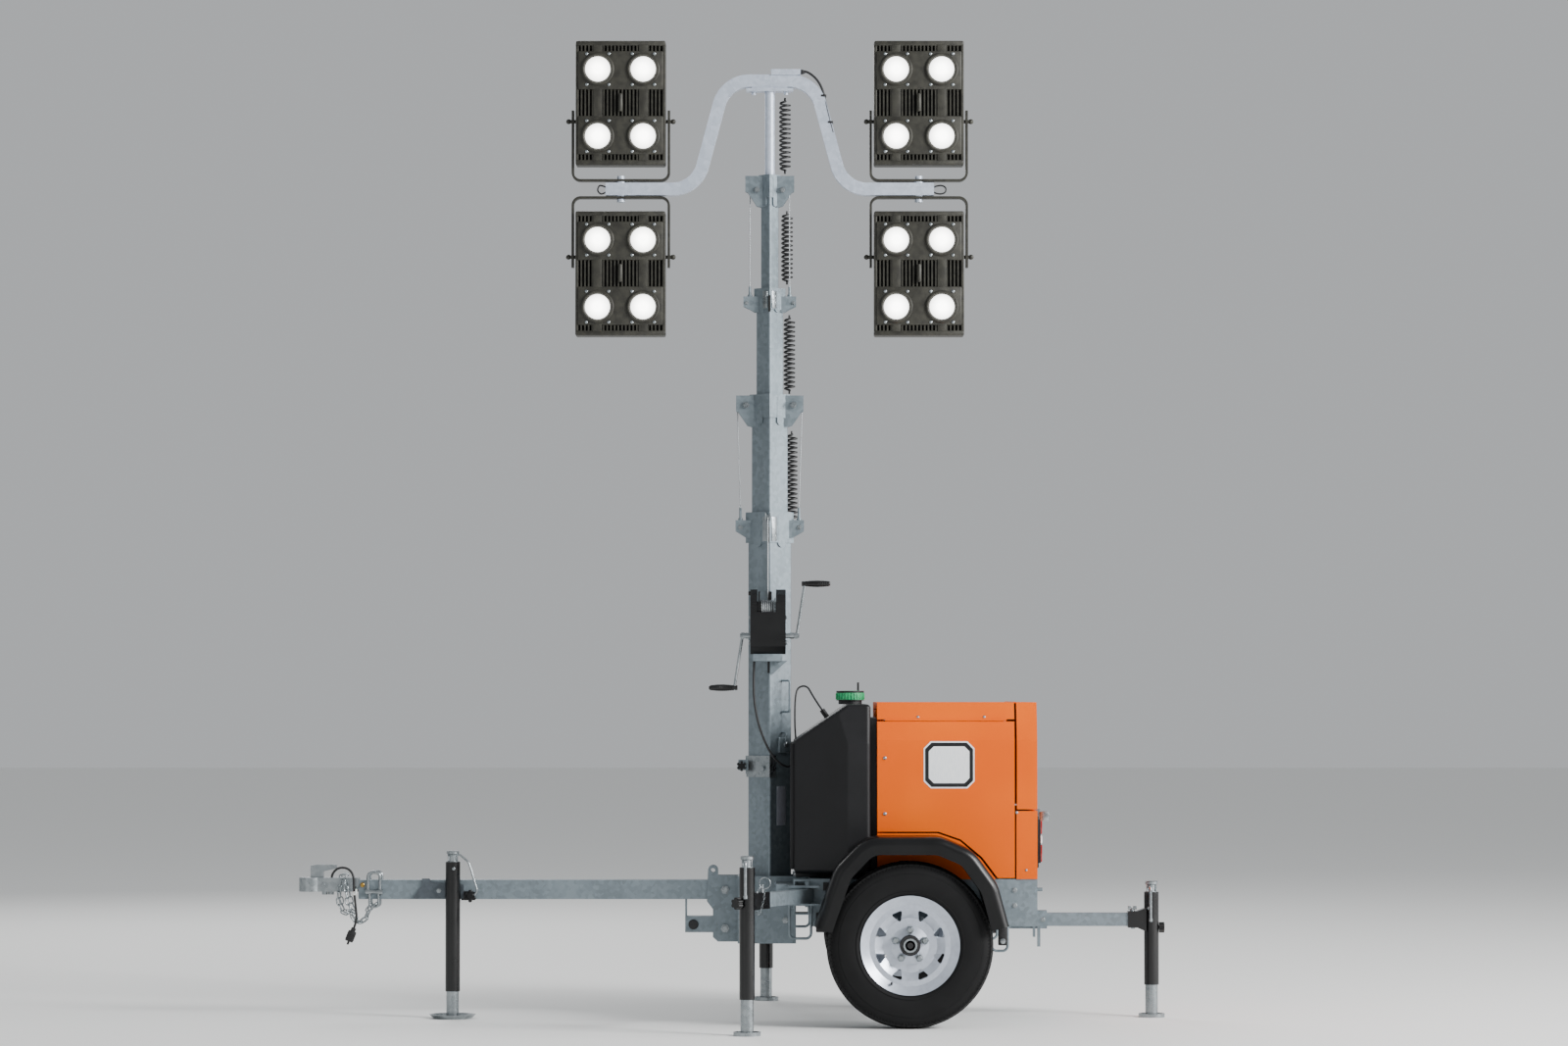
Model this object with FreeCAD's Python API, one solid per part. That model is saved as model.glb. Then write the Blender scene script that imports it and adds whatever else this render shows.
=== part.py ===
import FreeCAD, Part
import math
import os

# Towable light tower: a single-axle trailer with an enclosed generator, a hand-wound
# telescopic mast of five sections and four tilting lamps.
# Frame: +X towards the rear, +Y to the far side, +Z up. The coupler is at the -X end.
# The origin is on the ground, midway between the coupler's nose and the rear jack's foot.
# All sizes are in millimetres.

os.makedirs("parts", exist_ok=True)

V = FreeCAD.Vector
X_AXIS = V(1, 0, 0)
Y_AXIS = V(0, 1, 0)
Z_AXIS = V(0, 0, 1)

# Driving dimensions of the trailer
HALF_LENGTH = 1651
BODY_HALF_WIDTH = 450
RAIL_TOP_Z = 542
AXLE_X = 663
TYRE_R = 307
TYRE_WIDTH = 180
WHEEL_FACE_Y = 690
LUG_CIRCLE_R = 57.15
LUG_COUNT = 5
VENT_COUNT = 8

# Driving dimensions of the cabinet
CABIN_X = (547, 1143)
REAR_SEAM_X = 1065
DOOR_SEAM_Z = 1136
FOLD_Z = 1058
ROOF_Z = 1199
LEAN_IN = 24
ROOF_LEAN = 50
HATCH_Z = 801
PANEL = 25
SEAM = 6

# Driving dimensions of the mast
MAST_X = 145
ARM_Z = 3579
ARM_END_Z = 3163
ARM_HALF = 629
ARM_TUBE = 48
LAMP_OFFSET = 571
LAMP_WIDTH = 346
LAMP_DEPTH = 120
LAMP_LONG = 305
LAMP_SHORT = 172
UPPER_PIVOT_Z = 3424
LOWER_PIVOT_Z = 2903
LENS_R = 63
LENS_X = 87
LENS_Z = 128.5
YOKE_WIDTH = 377
YOKE_BAR = 9

# Driving dimensions of the supports
SIDE_PIVOT = (287, 500)
SIDE_JACK_Y = 1000
NEAR_JACK_X = 66
FAR_JACK_X = 128
REAR_JACK_X = 1601
FRONT_JACK = (-1059, -72)
REAR_BEAM_Z = 372
LEG_R = 24
KNOB_LOBES = 6


def box(x, y, z):
    """A box between pairs of limits."""
    return Part.makeBox(x[1] - x[0], y[1] - y[0], z[1] - z[0], V(x[0], y[0], z[0]))


def rod(start, axis, radius, length):
    """A cylinder from its start point along an axis."""
    return Part.makeCylinder(radius, length, V(*start), axis)


def fuse(solids):
    """One solid from several that touch."""
    shape = solids[0]
    for other in solids[1:]:
        shape = shape.fuse(other)
    return shape.removeSplitter()


def plate_xz(outline, y):
    """A plate with an outline in X and Z, between two Y limits."""
    points = [V(px, y[0], pz) for px, pz in outline]
    face = Part.Face(Part.makePolygon(points + [points[0]]))
    return face.extrude(V(0, y[1] - y[0], 0))


def plate_yz(outline, x):
    """A plate with an outline in Y and Z, between two X limits."""
    points = [V(x[0], py, pz) for py, pz in outline]
    face = Part.Face(Part.makePolygon(points + [points[0]]))
    return face.extrude(V(x[1] - x[0], 0, 0))


def plate_xy(outline, z):
    """A plate with an outline in X and Y, between two Z limits."""
    points = [V(px, py, z[0]) for px, py in outline]
    face = Part.Face(Part.makePolygon(points + [points[0]]))
    return face.extrude(V(0, 0, z[1] - z[0]))


def strip_edges(points, radius, offset, y):
    """Lines and arcs beside a path in X and Z with rounded corners; a positive offset is to its left."""
    edges = []
    start = None
    last = len(points) - 1
    for number in range(1, last):
        before, corner, after = (V(points[i][0], y, points[i][1]) for i in (number - 1, number, number + 1))
        u = (corner - before).normalize()
        v = (after - corner).normalize()
        left_u = V(-u.z, 0, u.x)
        left_v = V(-v.z, 0, v.x)
        side = 1 if u.x * v.z - u.z * v.x > 0 else -1
        turn = u.getAngle(v)
        setback = radius * math.tan(turn / 2)
        centre = corner - u * setback + left_u * (radius * side)
        reach = radius - side * offset
        outward = (corner - centre).normalize()
        arc_start = corner - u * setback + left_u * offset
        arc_end = corner + v * setback + left_v * offset
        if start is None:
            start = before + left_u * offset
        edges.append(Part.LineSegment(start, arc_start).toShape())
        edges.append(Part.Arc(arc_start, centre + outward * reach, arc_end).toShape())
        start = arc_end
        finish = after + left_v * offset
    edges.append(Part.LineSegment(start, finish).toShape())
    return edges, edges[0].valueAt(edges[0].FirstParameter), finish


def strip(points, radius, offsets, y):
    """A plate between two offsets of a rounded path in X and Z, between two Y limits."""
    first, first_start, first_end = strip_edges(points, radius, offsets[0], y[0])
    second, second_start, second_end = strip_edges(points, radius, offsets[1], y[0])
    ends = [Part.LineSegment(first_end, second_end).toShape()]
    ends.append(Part.LineSegment(second_start, first_start).toShape())
    outline = Part.Wire(Part.__sortEdges__(first + second + ends))
    return Part.Face(outline).extrude(V(0, y[1] - y[0], 0))


def bent_bar(points, bend, radius):
    """A round bar along a path whose corners are bent to one radius."""
    vectors = [V(*p) for p in points]
    edges = []
    start = vectors[0]
    for before, corner, after in zip(vectors, vectors[1:], vectors[2:]):
        u = (corner - before).normalize()
        v = (after - corner).normalize()
        turn = u.getAngle(v)
        setback = bend * math.tan(turn / 2)
        inward = (v - u).normalize()
        middle = corner + inward * (bend / math.cos(turn / 2) - bend)
        edges.append(Part.LineSegment(start, corner - u * setback).toShape())
        edges.append(Part.Arc(corner - u * setback, middle, corner + v * setback).toShape())
        start = corner + v * setback
    edges.append(Part.LineSegment(start, vectors[-1]).toShape())
    circle = Part.Wire(Part.makeCircle(radius, vectors[0], vectors[1] - vectors[0]))
    return Part.Wire(edges).makePipeShell([circle], True, False)


def star_knob(start, axis, radius, height):
    """Six-lobed hand knob that stands out along a level axis."""
    shape = rod(start, axis, 0.76 * radius, height)
    for number in range(KNOB_LOBES):
        lobe = Part.makeCylinder(0.28 * radius, height, V(*start) + Z_AXIS * (0.72 * radius), axis)
        lobe.rotate(V(*start), axis, 360 / KNOB_LOBES * number)
        shape = shape.fuse(lobe)
    return shape


def mirrored(shape):
    """The same shape on the far side."""
    return shape.mirror(V(0, 0, 0), Y_AXIS)


def save(node, shape):
    """Writes one node and reports its volume."""
    shape.exportStep("parts/" + node + ".step")
    print(node, "solids", len(shape.Solids), "valid", shape.isValid(), "cm3", round(shape.Volume / 1000))


def cord_tube(points, diameter, name):
    """A tube along straight runs joined by arcs as large as the runs allow."""
    vectors = [V(*p) for p in points]
    edges = []
    radii = []
    start = vectors[0]
    for before, corner, after in zip(vectors, vectors[1:], vectors[2:]):
        back = before - corner
        ahead = after - corner
        turn = math.pi - back.getAngle(ahead)
        setback = 0.45 * min(back.Length, ahead.Length)
        radius = setback / math.tan(turn / 2)
        back.normalize()
        ahead.normalize()
        arc_start = corner + back * setback
        arc_end = corner + ahead * setback
        inward = back + ahead
        inward.normalize()
        middle = corner + inward * (radius / math.cos(turn / 2) - radius)
        edges.append(Part.LineSegment(start, arc_start).toShape())
        edges.append(Part.Arc(arc_start, middle, arc_end).toShape())
        radii.append(round(radius))
        start = arc_end
    edges.append(Part.LineSegment(start, vectors[-1]).toShape())
    path = Part.Wire(edges)
    direction = vectors[1] - vectors[0]
    circle = Part.Wire(Part.makeCircle(diameter / 2, vectors[0], direction))
    tube = path.makePipeShell([circle], True, False)
    section = math.pi * diameter * diameter / 4
    print(name, "radii", radii, "volume ratio", round(tube.Volume / (section * path.Length), 3))
    return tube


def square_tube(side, wall, z):
    """A square mast tube standing on its corner line, about the mast's axis."""
    solids = []
    for width, radius in ((side, 2 * wall), (side - 2 * wall, wall)):
        block = Part.makeBox(width, width, z[1] - z[0], V(-width / 2, -width / 2, z[0]))
        upright = [e for e in block.Edges if abs(e.tangentAt(e.FirstParameter).z) > 0.9]
        solids.append(block.makeFillet(radius, upright))
    tube = solids[0].cut(solids[1])
    tube.rotate(V(0, 0, 0), Z_AXIS, 45)
    tube.translate(V(MAST_X, 0, 0))
    return tube


# Chassis: side rails under the cabinet, lower rails, cross members and the rear beam's sleeve
RAIL_X = (294, 1143)
RAIL_Y = (400, 446)
RAIL_Z = (416, RAIL_TOP_Z)
LOWER_RAIL_Z = (366, 416)
CROSS_X = ((294, 344), (560, 600), (1087, 1143))
LUG_PLATES_Z = ((446, 454), (512, 520))
POCKET = ((234, 294), (410, 540))
TIE_LOOPS = (  # front X, rear X, bottom Z, top Z, Y
    (220, 300, 322, 448, 462),
    (972, 1032, 275, 368, 441),
)
TIE_BAR_R = 5
PIVOT_R = 10


def chassis_side():
    """Near half of what stands beside the chassis centre."""
    pieces = [box(RAIL_X, (-RAIL_Y[1], -RAIL_Y[0]), RAIL_Z)]
    pieces.append(box((300, RAIL_X[1]), (-RAIL_Y[1], -RAIL_Y[1] + 50), LOWER_RAIL_Z))
    for z in LUG_PLATES_Z:
        pieces.append(box((214, 330), (-SIDE_PIVOT[1] - 30, -RAIL_Y[0]), z))
    pocket = box(POCKET[0], (-468, -340), POCKET[1])
    pocket = pocket.cut(box((POCKET[0][0] + 6, POCKET[0][1] - 6), (-480, -330), (POCKET[1][0] + 6, 446)))
    pocket = pocket.cut(box((POCKET[0][0] + 6, POCKET[0][1] - 6), (-480, -330), (520, POCKET[1][1] - 6)))
    pieces.append(pocket)
    pieces.append(box((170, 245), (-RAIL_Y[0], -110), (446, 520)))
    pieces.append(rod((SIDE_PIVOT[0], -SIDE_PIVOT[1], 440), Z_AXIS, PIVOT_R, 94))
    for front, rear, low, high, y in TIE_LOOPS:
        route = [(front, -y, high), (front, -y, low), (rear, -y, low), (rear, -y, high)]
        pieces.append(bent_bar(route, 20, TIE_BAR_R))
    return fuse(pieces)


def chassis():
    """Galvanised trailer frame."""
    side = chassis_side()
    pieces = [side, mirrored(side)]
    for low, high in CROSS_X:
        pieces.append(box((low, high), (-RAIL_Y[0], RAIL_Y[0]), (450, RAIL_TOP_Z)))
    pieces.append(box((294, 1143), (-RAIL_Y[0], RAIL_Y[0]), (538, RAIL_TOP_Z)))
    outside = (REAR_BEAM_Z - 34, REAR_BEAM_Z + 34)
    sleeve = box((620, 1201), (-34, 34), outside)
    sleeve = sleeve.cut(box((600, 1220), (-26, 26), (REAR_BEAM_Z - 26, REAR_BEAM_Z + 26)))
    pieces.append(sleeve)
    for low, high in ((620, 640), (1087, 1143)):
        for y in (-54, 34):
            pieces.append(box((low, high), (y, y + 20), (REAR_BEAM_Z - 20, 540)))
    pieces.append(box((1146, 1156), (-46, -34), (307, 400)))
    pieces.append(box((1163, 1175), (-46, -34), (270, 400)))
    pieces.append(rod((1143, -380, 501), X_AXIS, 7, 22))
    return fuse(pieces)


save("chassis", chassis())


# Mast socket: a welded box on the drawbar with a square well, in which the mast turns on a pin
SOCKET_X = (24, 245)
SOCKET_Y = (-110, 110)
SOCKET_Z = (285, 540)
WELL_HALF = 90
PIVOT_PIN_R = 20


def mast_socket():
    """Box with its well, pin and side bolts."""
    shell = box(SOCKET_X, SOCKET_Y, SOCKET_Z)
    well_x = (MAST_X - WELL_HALF, MAST_X + WELL_HALF)
    shell = shell.cut(box(well_x, (-WELL_HALF, WELL_HALF), (SOCKET_Z[0] + 12, SOCKET_Z[1] + 10)))
    pin = rod((MAST_X, 0, SOCKET_Z[0] + 6), Z_AXIS, PIVOT_PIN_R, 40)
    bolt = rod((204, SOCKET_Y[0] - 8, 373), Y_AXIS, 11, 10)
    return fuse([shell, pin, bolt, mirrored(bolt)])


save("mast_socket", mast_socket())


# Drawbar: square tube, bolted hitch plates with lashing eyes, and a lower bracket
DRAWBAR_HALF = 37.5
DRAWBAR_Z = (450, 523)
DRAWBAR_X = (-1420, 24)
EYE = (-71, 559)
HITCH_PLATE = (  # X, Z
    (24, 289),
    (24, 540),
    (-52, 540),
    (-52, 559),
    (-90, 559),
    (-94, 442),
    (-71, 412),
    (-71, 306),
    (-52, 289),
)
HITCH_BOLTS_Z = (486, 339)
HITCH_BOLT_X = -25


def hitch_plate():
    """Near hitch plate with its eye and bolt heads."""
    outside = -DRAWBAR_HALF - 8
    plate = plate_xz(HITCH_PLATE, (outside, -DRAWBAR_HALF))
    plate = plate.fuse(rod((EYE[0], outside, EYE[1]), Y_AXIS, 19, 8))
    plate = plate.cut(rod((EYE[0], outside - 1, EYE[1]), Y_AXIS, 9, 10))
    for z in HITCH_BOLTS_Z:
        plate = plate.fuse(rod((HITCH_BOLT_X, outside - 9, z), Y_AXIS, 15, 9))
    return plate


def drawbar():
    """Drawbar with its hitch plates and lower bracket."""
    tube = box(DRAWBAR_X, (-DRAWBAR_HALF, DRAWBAR_HALF), DRAWBAR_Z)
    hollow = box((DRAWBAR_X[0] - 5, DRAWBAR_X[1] - 40), (-33.5, 33.5), (454, 519))
    plate = hitch_plate()
    pieces = [tube.cut(hollow), plate, mirrored(plate)]
    pieces.append(box((-177, -60), (-DRAWBAR_HALF, DRAWBAR_HALF), (324, 385)))
    pieces.append(box((-177, -170), (-30, 30), (385, 450)))
    pieces.append(rod((-145, -DRAWBAR_HALF - 5, 354), Y_AXIS, 19, 2 * DRAWBAR_HALF + 10))
    return fuse(pieces)


save("drawbar", drawbar())


# Coupler: cast ball coupler with its latch
BALL_X = -1605
BALL_R = 26
COUPLER_Z = (478, 531)


LEVER = ((-1606, 531), (-1606, 576), (-1584, 580), (-1506, 580), (-1506, 566), (-1556, 554), (-1556, 531))


def coupler():
    """Coupler body with its ball socket, tongue and latch lever."""
    body = box((BALL_X, -1421), (-36, 36), COUPLER_Z)
    nose = rod((BALL_X, 0, COUPLER_Z[0]), Z_AXIS, HALF_LENGTH + BALL_X, 53)
    flange = rod((BALL_X, 0, COUPLER_Z[0]), Z_AXIS, HALF_LENGTH + BALL_X, 9)
    tongue = box((-1421, -1340), (-33, 33), (456, 517))
    lever = plate_xz(LEVER, (-14, 14))
    nuts = [rod((x, 0, 466), Z_AXIS, 11, 12) for x in (-1552, -1528)]
    shape = fuse([body, nose, flange, tongue, lever] + nuts)
    return shape.cut(rod((BALL_X, 0, COUPLER_Z[0] - 1), Z_AXIS, BALL_R, 41))


save("coupler", coupler())


# Axle: square tube with spindles, saddles under the lower rails
AXLE_HALF = 30
SPINDLE_R = 20


def axle():
    """Fixed axle with a spindle at each end."""
    pieces = [box((AXLE_X - AXLE_HALF, AXLE_X + AXLE_HALF), (-480, 480), (277, 337))]
    for side in (-1, 1):
        pieces.append(rod((AXLE_X, 0, TYRE_R), Y_AXIS * side, SPINDLE_R, 625))
        saddle_y = sorted((side * 396, side * 446))
        pieces.append(box((AXLE_X - 50, AXLE_X + 50), saddle_y, (337, LOWER_RAIL_Z[0])))
    return fuse(pieces)


save("axle", axle())


# Wheels: tyre and pressed steel rim with vents, hub and lugs
TYRE_SECTION = (  # distance out from the inner face, radius
    (14, 176),
    (0, 235),
    (10, 290),
    (34, 307),
    (146, 307),
    (170, 290),
    (180, 235),
    (166, 176),
)


def tyre():
    """Near tyre as a revolved section."""
    outer = [V(AXLE_X, -WHEEL_FACE_Y + TYRE_WIDTH - d, TYRE_R + r) for d, r in TYRE_SECTION]
    face = Part.Face(Part.makePolygon(outer + [outer[0]]))
    return face.revolve(V(AXLE_X, 0, TYRE_R), Y_AXIS, 360)


RIM_SECTION = (  # Y of the point, radius
    (-520, 175.5),
    (-520, 183),
    (-514, 183),
    (-514, 160),
    (-560, 150),
    (-632, 150),
    (-632, 55),
    (-530, 55),
    (-530, 20.4),
    (-629, 20.4),
    (-629, 0),
    (-662, 0),
    (-662, 36),
    (-650, 70),
    (-650, 100),
    (-668, 130),
    (-668, 150),
    (-676, 165),
    (-686, 183),
    (-680, 183),
    (-677, 175.5),
)


def rim():
    """Near rim with vents, lugs and a dust cap."""
    points = [V(AXLE_X, y, TYRE_R + r) for y, r in RIM_SECTION]
    face = Part.Face(Part.makePolygon(points + [points[0]]))
    disc = face.revolve(V(AXLE_X, 0, TYRE_R), Y_AXIS, 360)
    centre = AXLE_X, TYRE_R + 112
    triangle = [(centre[0] + dx, centre[1] + dz) for dx, dz in ((-23, 19), (23, 19), (0, -24))]
    for number in range(VENT_COUNT):
        vent = plate_xz(triangle, (-720, -560))
        upright = [e for e in vent.Edges if abs(e.tangentAt(e.FirstParameter).y) > 0.9]
        vent = vent.makeFillet(6, upright)
        vent.rotate(V(AXLE_X, 0, TYRE_R), Y_AXIS, 360 / VENT_COUNT * (number + 0.5))
        disc = disc.cut(vent)
    pieces = [disc]
    for number in range(LUG_COUNT):
        lug = rod((AXLE_X, -672, TYRE_R + LUG_CIRCLE_R), Y_AXIS, 10, 30)
        lug.rotate(V(AXLE_X, 0, TYRE_R), Y_AXIS, 360 / LUG_COUNT * number)
        pieces.append(lug)
    pieces.append(rod((AXLE_X, -684, TYRE_R), Y_AXIS, 35, 30))
    return fuse(pieces)


near_tyre = tyre()
near_rim = rim()
save("tyre_near", near_tyre)
save("tyre_far", mirrored(near_tyre))
save("rim_near", near_rim)
save("rim_far", mirrored(near_rim))


# Fenders: moulded arch with an outer skirt and an inner wall
FENDER_ARCH = (  # X, Z of the outer edge before its corners are rounded
    (313, 376),
    (388, 590),
    (500, 706),
    (775, 706),
    (895, 655),
    (985, 530),
    (1026, 379),
)
FENDER_BEND = 130
FENDER_Y = (470, 720)
FENDER_SKIN = 8
FENDER_SKIRT = 66
FENDER_ROLL = 30


def on_arch(edge, y, offset):
    """Whether an edge lies on the arch at one Y, at an offset inside its outer edge."""
    box_y = edge.BoundBox
    if abs(box_y.YMin - y) > 0.01 or abs(box_y.YMax - y) > 0.01:
        return False
    outline, _, _ = strip_edges(FENDER_ARCH, FENDER_BEND, -offset, y)
    middle = edge.valueAt((edge.FirstParameter + edge.LastParameter) / 2)
    return min(line.distToShape(Part.Vertex(middle))[0] for line in outline) < 0.01


def fender():
    """Near fender."""
    outer = strip(FENDER_ARCH, FENDER_BEND, (0, -FENDER_SKIRT), (-FENDER_Y[1], -FENDER_Y[0]))
    rolled = [e for e in outer.Edges if on_arch(e, -FENDER_Y[1], 0)]
    outer = outer.makeFillet(FENDER_ROLL, rolled)
    hollow_y = (-FENDER_Y[1] + FENDER_SKIN, -FENDER_Y[0] - FENDER_SKIN)
    hollow = strip(FENDER_ARCH, FENDER_BEND, (-FENDER_SKIN, -FENDER_SKIRT - 30), hollow_y)
    inner_rim = [e for e in hollow.Edges if on_arch(e, hollow_y[0], FENDER_SKIN)]
    hollow = hollow.makeFillet(FENDER_ROLL - FENDER_SKIN, inner_rim)
    pieces = [outer.cut(hollow)]
    pieces.append(box((345, 385), (-FENDER_Y[0] - 4, -RAIL_Y[1]), (500, 530)))
    pieces.append(box((960, 1000), (-FENDER_Y[0] - 4, -RAIL_Y[1]), (470, 500)))
    return fuse(pieces)


near_fender = fender()
save("fender_near", near_fender)
save("fender_far", mirrored(near_fender))


# Tank: moulded tank in front of the cabinet, hollowed in front for the turning mast
TANK_SIDE = ((236, 560), (236, 1055), (436, 1192), (523, 1192), (523, 560))
TANK_PLAN = ((236, 345), (436, 450), (523, 450))
TANK_FRONT = ((450, 560), (450, 1045), (425, 1200))
MAST_CLEARANCE_R = 146
TANK_CORNER = 16
TANK_REAR_PAD = ((515, 546), (-415, 415), (575, 1140))


def tank():
    """Fuel tank moulding."""
    plan = list(TANK_PLAN) + [(px, -py) for px, py in reversed(TANK_PLAN)]
    front = list(TANK_FRONT) + [(-py, pz) for py, pz in reversed(TANK_FRONT)]
    block = plate_xz(TANK_SIDE, (-500, 500))
    block = block.common(plate_xy(plan, (500, 1300))).common(plate_yz(front, (200, 600)))
    block = block.makeFillet(TANK_CORNER, block.Edges)
    block = block.cut(rod((MAST_X, 0, 540), Z_AXIS, MAST_CLEARANCE_R, 700))
    for y in ((-300, -240), (240, 300)):
        block = block.fuse(box((330, 500), y, (RAIL_TOP_Z, 562)))
    block = block.fuse(box(*TANK_REAR_PAD))
    return block.removeSplitter()


save("tank", tank())

CAP_POS = (448, -290)


def filler_cap():
    """Screw cap on its neck, with the gauge stalk behind."""
    neck = rod((CAP_POS[0], CAP_POS[1], 1192), Z_AXIS, 44, 14)
    cap = rod((CAP_POS[0], CAP_POS[1], 1206), Z_AXIS, 52, 36)
    stalk = rod((CAP_POS[0] + 30, CAP_POS[1], 1242), Z_AXIS, 4, 32)
    gland = Part.makeCylinder(10, 34, V(362.4, -150, 1142.8), V(-0.565, 0, 0.825))
    return Part.makeCompound([fuse([neck, cap, stalk]), gland])


save("filler_cap", filler_cap())


# Cabinet: a hollow enclosure of panels as thick as its lined walls
def side_outline(inner):
    """Y and Z points of the half section, from the floor to the roof."""
    w = BODY_HALF_WIDTH - inner
    return [(w, RAIL_TOP_Z), (w, FOLD_Z), (w - LEAN_IN, DOOR_SEAM_Z), (w - ROOF_LEAN, ROOF_Z - inner)]


def section_prism(inner, x):
    """The whole cabinet section as a solid between two X limits."""
    right = side_outline(inner)
    left = [(-y, z) for y, z in reversed(right)]
    return plate_yz(right + left, x)


OUTER = section_prism(0, CABIN_X)
INNER = section_prism(PANEL, (CABIN_X[0] - 50, CABIN_X[1] + 50))
SHELL = OUTER.cut(INNER)
FRONT_X = CABIN_X[0] + PANEL


def bulkhead():
    """Front wall."""
    return section_prism(PANEL + 0.5, (CABIN_X[0], FRONT_X)).cut(box((0, 2000), (-600, 600), (1170, 1300)))


DOOR_X = (CABIN_X[0], REAR_SEAM_X - SEAM)
DOOR_HINGE = (428, 1133)
HATCH_HINGE = (REAR_SEAM_X - 3, 1199)
HINGE_R = 4
DOOR_OUTLINE = (  # X, Z: the lower edge follows the fender 12 mm above it
    (DOOR_X[0], DOOR_SEAM_Z - 8),
    (DOOR_X[1], DOOR_SEAM_Z - 8),
    (DOOR_X[1], 546),
    (995, 546),
    (938, 622),
    (858, 689),
    (774, 718),
    (DOOR_X[0], 718),
)


def door():
    """Near side door, cut to the wheel arch."""
    cutter = plate_xz(DOOR_OUTLINE, (-600, -300))
    return SHELL.common(cutter)


def arch_panel():
    """Near fixed panel between the door and the frame, behind the wheel arch."""
    outline = [(DOOR_X[0], RAIL_TOP_Z), (DOOR_X[0], 718 - SEAM), (772, 718 - SEAM), (855, 683)]
    outline += [(932, 617), (988, RAIL_TOP_Z)]
    return SHELL.common(plate_xz(outline, (-600, -300)))


def roof():
    """Roof panel between the doors' tops and the rear hatch, with the round hinges on its edges."""
    cutter = box((CABIN_X[0], REAR_SEAM_X - SEAM), (-600, 600), (DOOR_SEAM_Z, ROOF_Z))
    pieces = [SHELL.common(cutter)]
    for y in (-DOOR_HINGE[0], DOOR_HINGE[0]):
        pieces.append(rod((CABIN_X[0] + 30, y, DOOR_HINGE[1]), X_AXIS, HINGE_R, DOOR_X[1] - CABIN_X[0] - 60))
    pieces.append(rod((HATCH_HINGE[0], -360, HATCH_HINGE[1] - 1), Y_AXIS, HINGE_R, 720))
    return fuse(pieces)


def rear_panel():
    """Fixed lower rear panel with its corners."""
    low = (RAIL_TOP_Z, HATCH_Z - SEAM)
    corners = SHELL.common(box((REAR_SEAM_X, CABIN_X[1]), (-600, 600), low))
    wall = OUTER.common(box((CABIN_X[1] - PANEL, CABIN_X[1]), (-600, 600), low))
    catch = box((CABIN_X[1], CABIN_X[1] + 35), (-30, 30), (742, 790))
    lever = box((CABIN_X[1] + 35, CABIN_X[1] + 62), (-45, 45), (748, 781))
    return fuse([corners, wall, catch, lever])


def rear_hatch():
    """Top-hinged rear hatch with its corners and top."""
    high = (HATCH_Z, ROOF_Z)
    corners = SHELL.common(box((REAR_SEAM_X + 2, CABIN_X[1]), (-600, 600), high))
    wall = OUTER.common(box((CABIN_X[1] - PANEL, CABIN_X[1]), (-600, 600), high))
    return corners.fuse(wall).removeSplitter()


save("bulkhead", bulkhead())
near_door = door()
save("door_near", near_door)
save("door_far", mirrored(near_door))
near_arch = arch_panel()
save("arch_panels", Part.makeCompound([near_arch, mirrored(near_arch)]))
save("roof", roof())
save("rear_panel", rear_panel())
save("rear_hatch", rear_hatch())
save("engine", box((640, 1000), (-210, 210), (RAIL_TOP_Z, 1000)))

TAIL_LAMP_Y = 340


def tail_lamp(side):
    """Upright rear lamp."""
    y = sorted((side * TAIL_LAMP_Y - 50, side * TAIL_LAMP_Y + 50))
    base = box((CABIN_X[1], CABIN_X[1] + 8), y, (581, 774))
    lens = box((CABIN_X[1] + 8, CABIN_X[1] + 22), (y[0] + 4, y[1] - 4), (600, 760))
    return base.fuse(lens)


save("tail_lamps", Part.makeCompound([tail_lamp(-1), tail_lamp(1)]))


# Mast: five square or round tubes, each sliding in the one outside it
SECTIONS = (  # across, wall, bottom, top
    (120, 4, 305, 1865),
    (100, 3, 640, 2370),
    (75, 3, 977, 2760),
    (50, 2.5, 1314, 3214),
)
ROUND_SECTION = (38, 3, 1651, 3541)
HEAD_COLLARS = (  # section index, bottom, top, tongue bottom, tongue width
    (0, 1807, 1924, 1790, 40),
    (1, 2285, 2375, 2258, 30),
    (2, 2700, 2782, 2689, 26),
    (3, 3130, 3218, 3096, 22),
)
PULLEY_EAR = ((129, 2371), (129, 2310), (120, 2306), (86, 2256), (69, 2251))
HIGH_EAR = ((94, 3214), (94, 3154), (84, 3150), (50, 3098), (34, 3094))
LOW_ANCHOR = ((131, 1894), (131, 1852), (88, 1826))
HIGH_ANCHOR = ((101, 2751), (101, 2713), (74, 2700), (58, 2690))
EARS = (  # section index, outline from the top outer corner down to the tube, half gap in Y
    (0, LOW_ANCHOR, 14),
    (1, PULLEY_EAR, 14),
    (2, HIGH_ANCHOR, 12),
    (3, HIGH_EAR, 12),
)
ANCHORS = (  # section index, rope X, bracket top, outer X, outer bottom, half gap, adjuster top
    (0, 112, 1894, 131, 1852, 14, 1942),
    (2, 76, 2751, 101, 2713, 12, 2790),
)
PULLEYS = (  # section index, X, Z, radius
    (1, 91, 2335, 31),
    (3, 49, 3160, 24),
)
EAR_PLATE = 4
ADJUSTER_R = 5


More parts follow.
